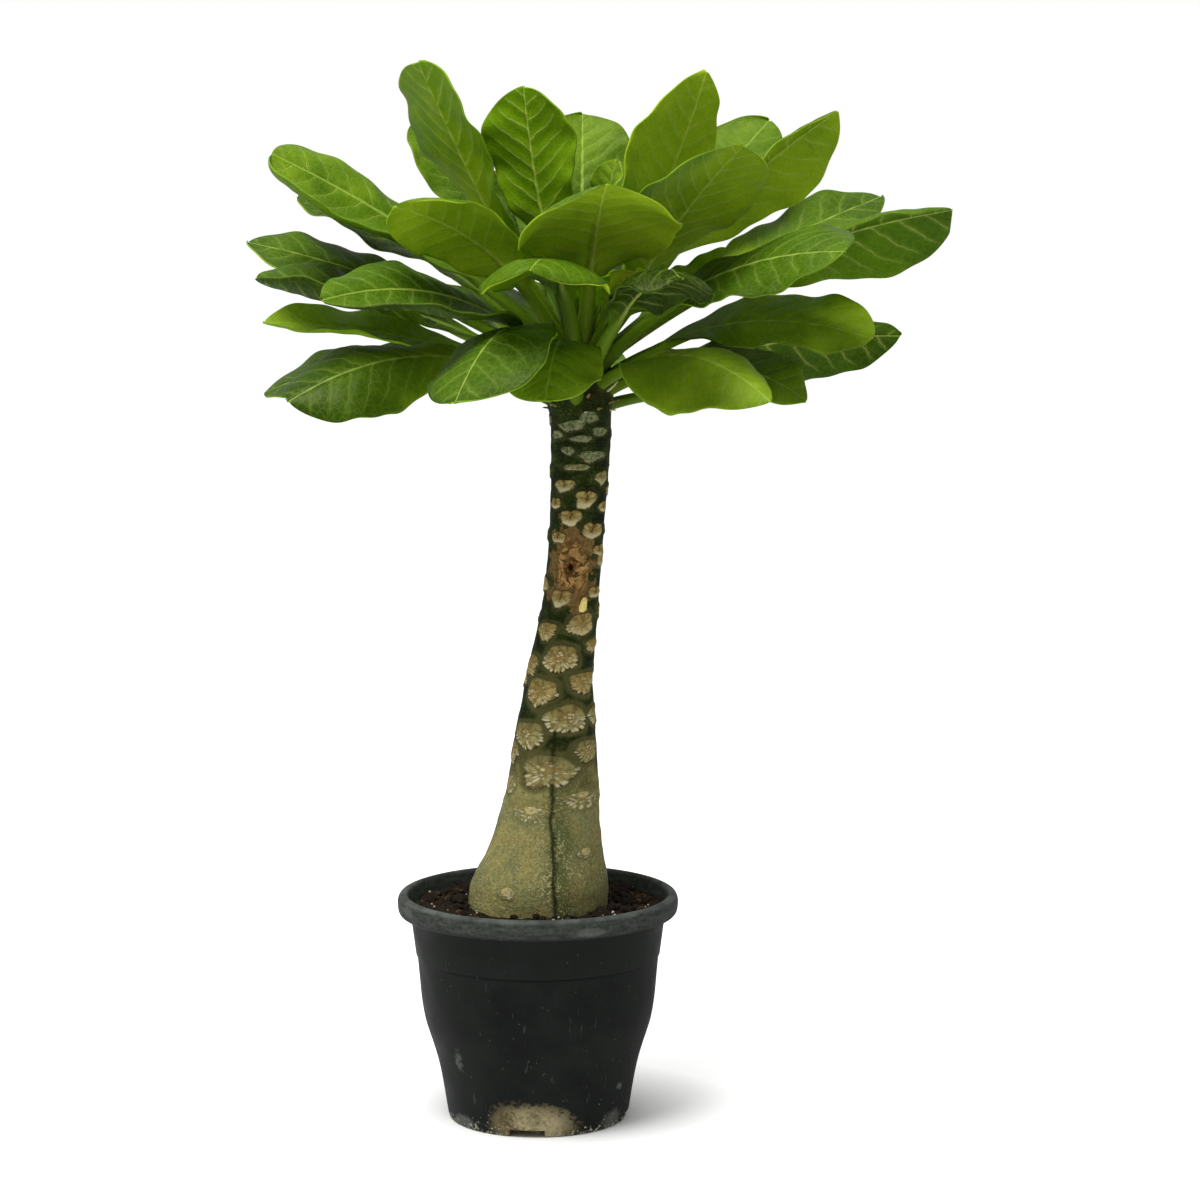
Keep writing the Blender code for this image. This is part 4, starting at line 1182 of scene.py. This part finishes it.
def pot_profile():
    """The pot's section as (radius, height): up its inside, over the rim, and down its outside."""
    rim = RIM_DIAMETER / 2
    skirt = POT_HEIGHT - RIM_LIP
    wall_top = WALL_CURVE[0][1]
    inside_heights = np.linspace(FLOOR + 3, POT_HEIGHT - 14, 22)
    inside = np.stack((wall_radius(inside_heights) - WALL, inside_heights), -1)
    foot_inside = FOOT_DIAMETER / 2 - WALL
    floor = [(radius, FLOOR) for radius in (0, 12, 24, 30, 36, 43, foot_inside - 1)]
    lip = rounded(
        [
            (wall_top - WALL, POT_HEIGHT - 13),
            (wall_top + 0.6, POT_HEIGHT - 5),
            (wall_top + 2.0, POT_HEIGHT - 0.5),
            (wall_top + 3.2, POT_HEIGHT),
            (wall_top + 5.2, POT_HEIGHT - 0.3),
            (rim - 1.0, POT_HEIGHT - 1.4),
            (rim, POT_HEIGHT - 4.0),
            (rim, POT_HEIGHT - 7.5),
            (rim - 0.5, skirt + 1.8),
            (rim - 1.6, skirt + 0.3),
            (rim - 3, skirt),
            (rim - RIM_OVERHANG + 0.9, skirt + 0.7),
            (wall_top + 0.5, skirt + 0.2),
            (wall_top, skirt - 1.5),
        ],
        2,
    )
    # The band under the rim ends in a crisp ledge, and the wall goes on a little further in
    ledge = [height for height, _ in WALL_CURVE].index(STEP_LEDGE) + 1
    band = rounded(WALL_CURVE[1:ledge], 2)[:, ::-1]
    wall = rounded(WALL_CURVE[ledge:], 2)[:, ::-1]
    foot = rounded([(55, 2.6), (54.2, 0.5), (52.8, 0), (50, 0)], 1)
    base = [(radius, 0) for radius in (44, 37, 30, 24, 12, 0)]
    return np.concatenate((floor, inside, lip, band, wall, foot, base))


def make_pot():
    """The nursery pot: one thin moulding with a rolled rim, foot notches and drain holes."""
    mesh = turned_mesh("nursery_pot", pot_profile(), POT_COLUMNS)
    plastic = pot_plastic()
    made = new_piece("nursery_pot", mesh, [plastic], "pot")
    tools = bmesh.new()
    inner, outer = NOTCH_REACH
    for turn in NOTCH_TURNS:
        cube = bmesh.ops.create_cube(tools, size=1)["verts"]
        size = ((outer - inner) * MM, NOTCH_WIDTH * MM, 2 * NOTCH_HEIGHT * MM)
        bmesh.ops.scale(tools, vec=size, verts=cube)
        bmesh.ops.translate(tools, vec=((inner + outer) / 2 * MM, 0, 0), verts=cube)
        spin = Matrix.Rotation(math.radians(turn), 3, "Z")
        bmesh.ops.rotate(tools, cent=(0, 0, 0), matrix=spin, verts=cube)
    for number in range(DRAIN_HOLES):
        angle = 2 * math.pi * (number + 0.5) / DRAIN_HOLES
        radius = DRAIN_DIAMETER / 2 * MM
        cone = bmesh.ops.create_cone(
            tools, cap_ends=True, segments=24, radius1=radius, radius2=radius, depth=4 * FLOOR * MM
        )["verts"]
        centre = (DRAIN_CIRCLE * math.cos(angle) * MM, DRAIN_CIRCLE * math.sin(angle) * MM, 0)
        bmesh.ops.translate(tools, vec=centre, verts=cone)
    cutters = in_scene("foot_cutters", mesh_from(tools, "foot_cutters"))
    cut = made.modifiers.new("notches and drain holes", "BOOLEAN")
    cut.object = cutters
    cut.operation = "DIFFERENCE"
    graph = bpy.context.evaluated_depsgraph_get()
    opened = bpy.data.meshes.new_from_object(made.evaluated_get(graph))
    made.modifiers.clear()
    made.data = opened
    bpy.data.objects.remove(cutters)
    opened.shade_smooth()
    opened.set_sharp_from_angle(angle=math.radians(SHARP_EDGE))


def pot_plastic():
    """Black polypropylene, injection moulded and used: satin, greyed by dust and fine scuffs.

    The rim is the most worn, dried mud stays in the front notch, and limescale flecks the foot.
    """
    made, add, dress = new_finish("black polypropylene, moulded and scuffed", 0.5, 1.49)
    place = world_millimetres(add)
    height = add(SPLIT, (place,), output="Z")
    dust = add(NOISE, {"Vector": place, "Scale": 1 / 26, "Detail": 5, "Roughness": 0.65})
    grit = add(NOISE, {"Vector": place, "Scale": 1 / 2.5, "Detail": 3, "Roughness": 0.6})
    cloud = add(RANGE, (dust, 0.35, 0.7))
    # The band under the rim is dustier, down to a painted shadow line under the ledge, 1.5 mm wide
    band = add(SOFT_RANGE, (height, STEP_LEDGE - 1.2, STEP_LEDGE + 0.2, 0, 0.45))
    ledge = add(UNSIGNED, (add(MINUS, (height, STEP_LEDGE - 1.2)),))
    ledge = add(SOFT_RANGE, (ledge, 0.5, 1.2, 0.8, 0))
    # Rim: chalky wear in patches and in faint streaks that run round it
    streak = add(VECTOR, (place, (0.1, 0.1, 0.5)), operation="MULTIPLY")
    streak = add(NOISE, {"Vector": streak, "Scale": 1, "Detail": 5, "Roughness": 0.7})
    worn = add(RANGE, (add(TIMES_PLUS, (grit, 0.5, streak)), 0.62, 0.95, 0.25, 0.9))
    worn = add(TIMES, (worn, add(SOFT_RANGE, (height, *RIM_BAND))))
    # Painted highlight where the top of the rim turns over, broken here and there
    highlight_strength = add(SOFT_RANGE, (dust, 0.4, 0.62, 0.15, 0.7))
    crest_highlight = add(TIMES, (highlight_strength, add(SOFT_RANGE, (height, *RIM_CREST))))
    # Fine scratches that slant across the wall, drawn 0.6 mm wide so that they show
    scratch = add(VECTOR, (place, (0.35, 0.35, 0.06)), operation="MULTIPLY")
    scratch = add(NOISE, {"Vector": scratch, "Scale": 1, "Detail": 4, "Distortion": 0.6})
    scratch = add(SOFT_RANGE, (scratch, 0.66, 0.74, 0, 0.22))
    # Grit and limescale: sparse pale flecks, thicker towards the foot, and a crust on the foot
    cells = add(CELLS, {"Vector": place, "Scale": 1 / 6, "Randomness": 1})
    fleck = add(SOFT_RANGE, (cells, 0.04, 0.09, 1, 0))
    fleck = add(TIMES, (fleck, add(RANGE, (height, 4, 24, 0.9, 0.12))))
    crust = add(PLUS, (grit, add(RANGE, (height, 0, 9, 0.2, 0))))
    crust = add(SOFT_RANGE, (crust, 0.66, 0.76, 0, 0.75))
    crust = add(TIMES, (crust, add(RANGE, (height, 6, 12, 1, 0))))
    # Marks at their own places, with ragged edges. Mud is darker where it is thin or damp
    patches = []
    for middle, reach, share in (POT_MUD_MARK, *POT_CHALK_MARKS):
        offset = add(VECTOR, (place, middle), operation="SUBTRACT")
        away = add(LENGTH, (add(VECTOR, (offset, reach), operation="DIVIDE"),))
        for noise, part in ((dust, 1.6), (grit, 0.9)):
            away = add(TIMES_PLUS, (noise, part, away))
        patches.append(add(SOFT_RANGE, (away, 1.75, 2.3, share, 0)))
    soiled = patches[0]
    damp = add(RANGE, (add(TIMES_PLUS, (grit, 0.5, dust)), 0.62, 0.84))
    mud = add(BLEND, {0: damp, 6: POT_MUD_DARK, 7: POT_MUD})
    skin = POT_BLACK
    for share, tint in (
        (cloud, POT_DUSTY), (band, POT_DUSTY), (ledge, POT_SHADOW), (worn, POT_RIM_GREY),
        (crest_highlight, POT_SCUFF_AND_HIGHLIGHT), (scratch, POT_SCUFF_AND_HIGHLIGHT), (fleck, POT_FLECK), (crust, POT_FLECK),
        (soiled, mud), *((patch, POT_CHALK) for patch in patches[1:]),
    ):
        skin = add(BLEND, {0: share, 6: skin, 7: tint})
    rough = add(RANGE, (cloud, 0, 1, 0.46, 0.64))
    for part, rise in ((worn, 0.2), (soiled, 0.4)):
        rough = add(TIMES_PLUS, (part, rise, rough))
    relief = 0
    for part, rise in ((grit, 0.25), (soiled, 1.2), (fleck, 0.6)):
        relief = add(TIMES_PLUS, (part, rise, relief))
    dress({
        "Base Color": skin,
        "Roughness": rough,
        "Specular IOR Level": 0.09,
        "Normal": add(BUMP, {"Height": relief, "Distance": 0.0004, "Strength": 0.6}),
    })
    return made


# Soil


def crumb(bm, place, size, picker, level, surface):
    """One crumb: a small ball, made lumpy and flattened, that sits partly in the soil."""
    ball = bmesh.ops.create_icosphere(bm, subdivisions=level, radius=size / 2 * MM)["verts"]
    flat = picker.uniform(0.55, 0.95)
    lumps = picker.normal(size=(4, 3)) / (size * MM) * 2.2
    for vertex in ball:
        steps = lumps @ np.array(vertex.co) + 2 * np.arange(len(lumps))
        vertex.co = vertex.co * (1 + CRUMB_LUMPS * float(np.sin(steps).sum()))
        vertex.co.z *= flat
    spin = Matrix.Rotation(picker.uniform(0, 6.28), 3, Vector(picker.normal(size=3)))
    bmesh.ops.rotate(bm, cent=(0, 0, 0), matrix=spin, verts=ball)
    bmesh.ops.translate(bm, vec=[value * MM for value in place], verts=ball)
    surface_faces(ball, surface)


def soil_top(points):
    """Raises the soil's top into lumps, and leaves its side and bottom as they are."""
    radius = np.hypot(points[..., 0], points[..., 1])
    top = (points[..., 2] > SOIL_TOP - 2) & (radius > 40)
    lumps = sum(rise * unevenness(points, size, seed) for rise, size, seed in SOIL_LUMPS)
    ease = smooth_step(*LUMPS_START, radius) * (1 - 0.5 * smooth_step(*LUMPS_SETTLE, radius))
    points = points.copy()
    points[..., 2] += np.where(top, lumps * ease, 0)
    return points


def make_soil():
    """Potting mix with an uneven top, crumbs of peat and bark, and grains of perlite."""
    foot = PEG_FOOT - GAP
    floor = FLOOR + GAP
    edge = WALL_CURVE[0][1] - WALL - 2 * GAP
    side_heights = np.linspace(SOIL_TOP - 8, floor + 4, 9)
    side = np.stack((wall_radius(side_heights) - WALL - 2 * GAP, side_heights), -1)
    surface = [(radius, SOIL_TOP) for radius in np.linspace(STEM_HOLE_RADIUS, edge, SOIL_ROWS)]
    base = [(FOOT_DIAMETER / 2 - WALL - 2 * GAP, floor), (0, floor)]
    hole = [(0, foot), (STEM_HOLE_RADIUS, foot), (STEM_HOLE_RADIUS, SOIL_TOP - 3)]
    profile = [*hole, *surface, *side, *base]
    mesh = turned_mesh("potting_soil", profile, SOIL_COLUMNS, soil_top)
    bm = bmesh.new()
    bm.from_mesh(mesh)
    picker = np.random.default_rng(21)
    for number in range(CRUMBS + PERLITE_GRAINS):
        grain = number >= CRUMBS
        size = picker.uniform(0.7, 2.0) if grain else 1.3 + 4.2 * picker.uniform() ** 2.2
        radius = picker.uniform(CRUMB_RADII[0], CRUMB_RADII[1] - size / 2)
        turn = picker.uniform(0, 2 * math.pi)
        spot = np.array([radius * math.cos(turn), radius * math.sin(turn), SOIL_TOP + 0.0])
        level = soil_top(spot[None])[0, 2]
        spot[2] = level + picker.uniform(0.0, 0.35) * size
        surface_index = 2 if grain else int(picker.uniform() < FIBRE_SHARE)
        crumb(bm, spot, size, picker, 2 if size > 2.5 else 1, surface_index)
    bm.to_mesh(mesh)
    bm.free()
    mix = soil_finish("damp potting mix", SOIL_DARK, SOIL_BROWN, 1 / 1.6)
    fibre = soil_finish("bark and coir crumbs", SOIL_BROWN, SOIL_FIBRE, 1 / 1.1)
    new_piece("potting_soil", mesh, [mix, fibre, perlite_finish()], "soil")


def soil_finish(name, dark, light, scale):
    """Damp peat and bark: matte and near black, with browner fibres of about a millimetre."""
    made, add, dress = new_finish(name, 0.95, 1.33)
    place = world_millimetres(add)
    grain = add(NOISE, {"Vector": place, "Scale": scale, "Detail": 6, "Roughness": 0.75})
    share = add(SOFT_RANGE, (grain, 0.42, 0.72))
    skin = add(BLEND, {0: share, 6: dark, 7: light})
    dress({
        "Base Color": skin,
        "Specular IOR Level": 0.25,
        "Normal": add(BUMP, {"Height": grain, "Distance": 0.0016, "Strength": 1}),
    })
    return made


def perlite_finish():
    """Perlite: popped white volcanic glass, matte, with pores of about half a millimetre."""
    made, add, dress = new_finish("perlite", 0.9, 1.5)
    place = world_millimetres(add)
    pores = add(CELLS, {"Vector": place, "Scale": 1 / 0.6})
    shade = add(RANGE, (pores, 0.1, 0.7, 0.35, 0))
    skin = add(BLEND, {0: shade, 6: PERLITE, 7: SOIL_FIBRE})
    bump = add(BUMP, {"Height": pores, "Distance": 0.0003, "Strength": 0.8})
    dress({"Base Color": skin, "Normal": bump})
    return made


def make_stage():
    """Plain pale floor, near-white surroundings, and one large soft light above the front left."""
    bm = bmesh.new()
    bmesh.ops.create_grid(bm, x_segments=4, y_segments=4, size=40)
    floor = in_scene("floor", mesh_from(bm, "floor"))
    surface, add, dress = new_finish("matt white studio floor", 0.9, 1.45)
    lift = add(RANGE, (add(LENGTH, (add(PLACE),)), *FLOOR_LIFT_STARTS, 0, FLOOR_LIFT))
    glow = add(TIMES, (add(CAMERA_RAY), lift))
    white = colour("#ffffff")
    dress({"Base Color": colour("#fbfbfa"), "Emission Color": white, "Emission Strength": glow})
    floor.data.materials.append(surface)
    world = bpy.data.worlds.new("white studio")
    world.use_nodes = True
    tree = world.node_tree
    # The backdrop is plain white to look at, and lights the plant more softly than that
    strength = add_node(tree, RANGE, {0: add_node(tree, CAMERA_RAY), 3: SURROUND_LIGHT, 4: 1})
    feed(tree, tree.nodes["Background"], {"Color": white, "Strength": strength})
    bpy.context.scene.world = world
    lamp = bpy.data.lights.new("softbox", "AREA")
    lamp.shape = "DISK"
    lamp.size = KEY_WIDTH
    lamp.energy = KEY_POWER
    key = in_scene("softbox", lamp)
    key.location = KEY_PLACE
    aim = np.array(KEY_TARGET) - np.array(KEY_PLACE)
    key.rotation_euler = (math.acos(aim[2] / -np.linalg.norm(aim)), 0, math.atan2(-aim[0], aim[1]))


def make_camera():
    """The camera of the front view, about two metres away and looking a little down."""
    data = bpy.data.cameras.new("camera")
    data.lens = LENS
    camera = in_scene("camera", data)
    camera.location = [value * MM for value in CAMERA_PLACE]
    camera.rotation_euler = (math.radians(CAMERA_PITCH), 0, 0)
    bpy.context.scene.camera = camera


make_camera()
make_stage()
make_leaves()
make_stem()
make_remains()
make_pot()
make_soil()
bpy.context.scene.view_settings.view_transform = "Standard"
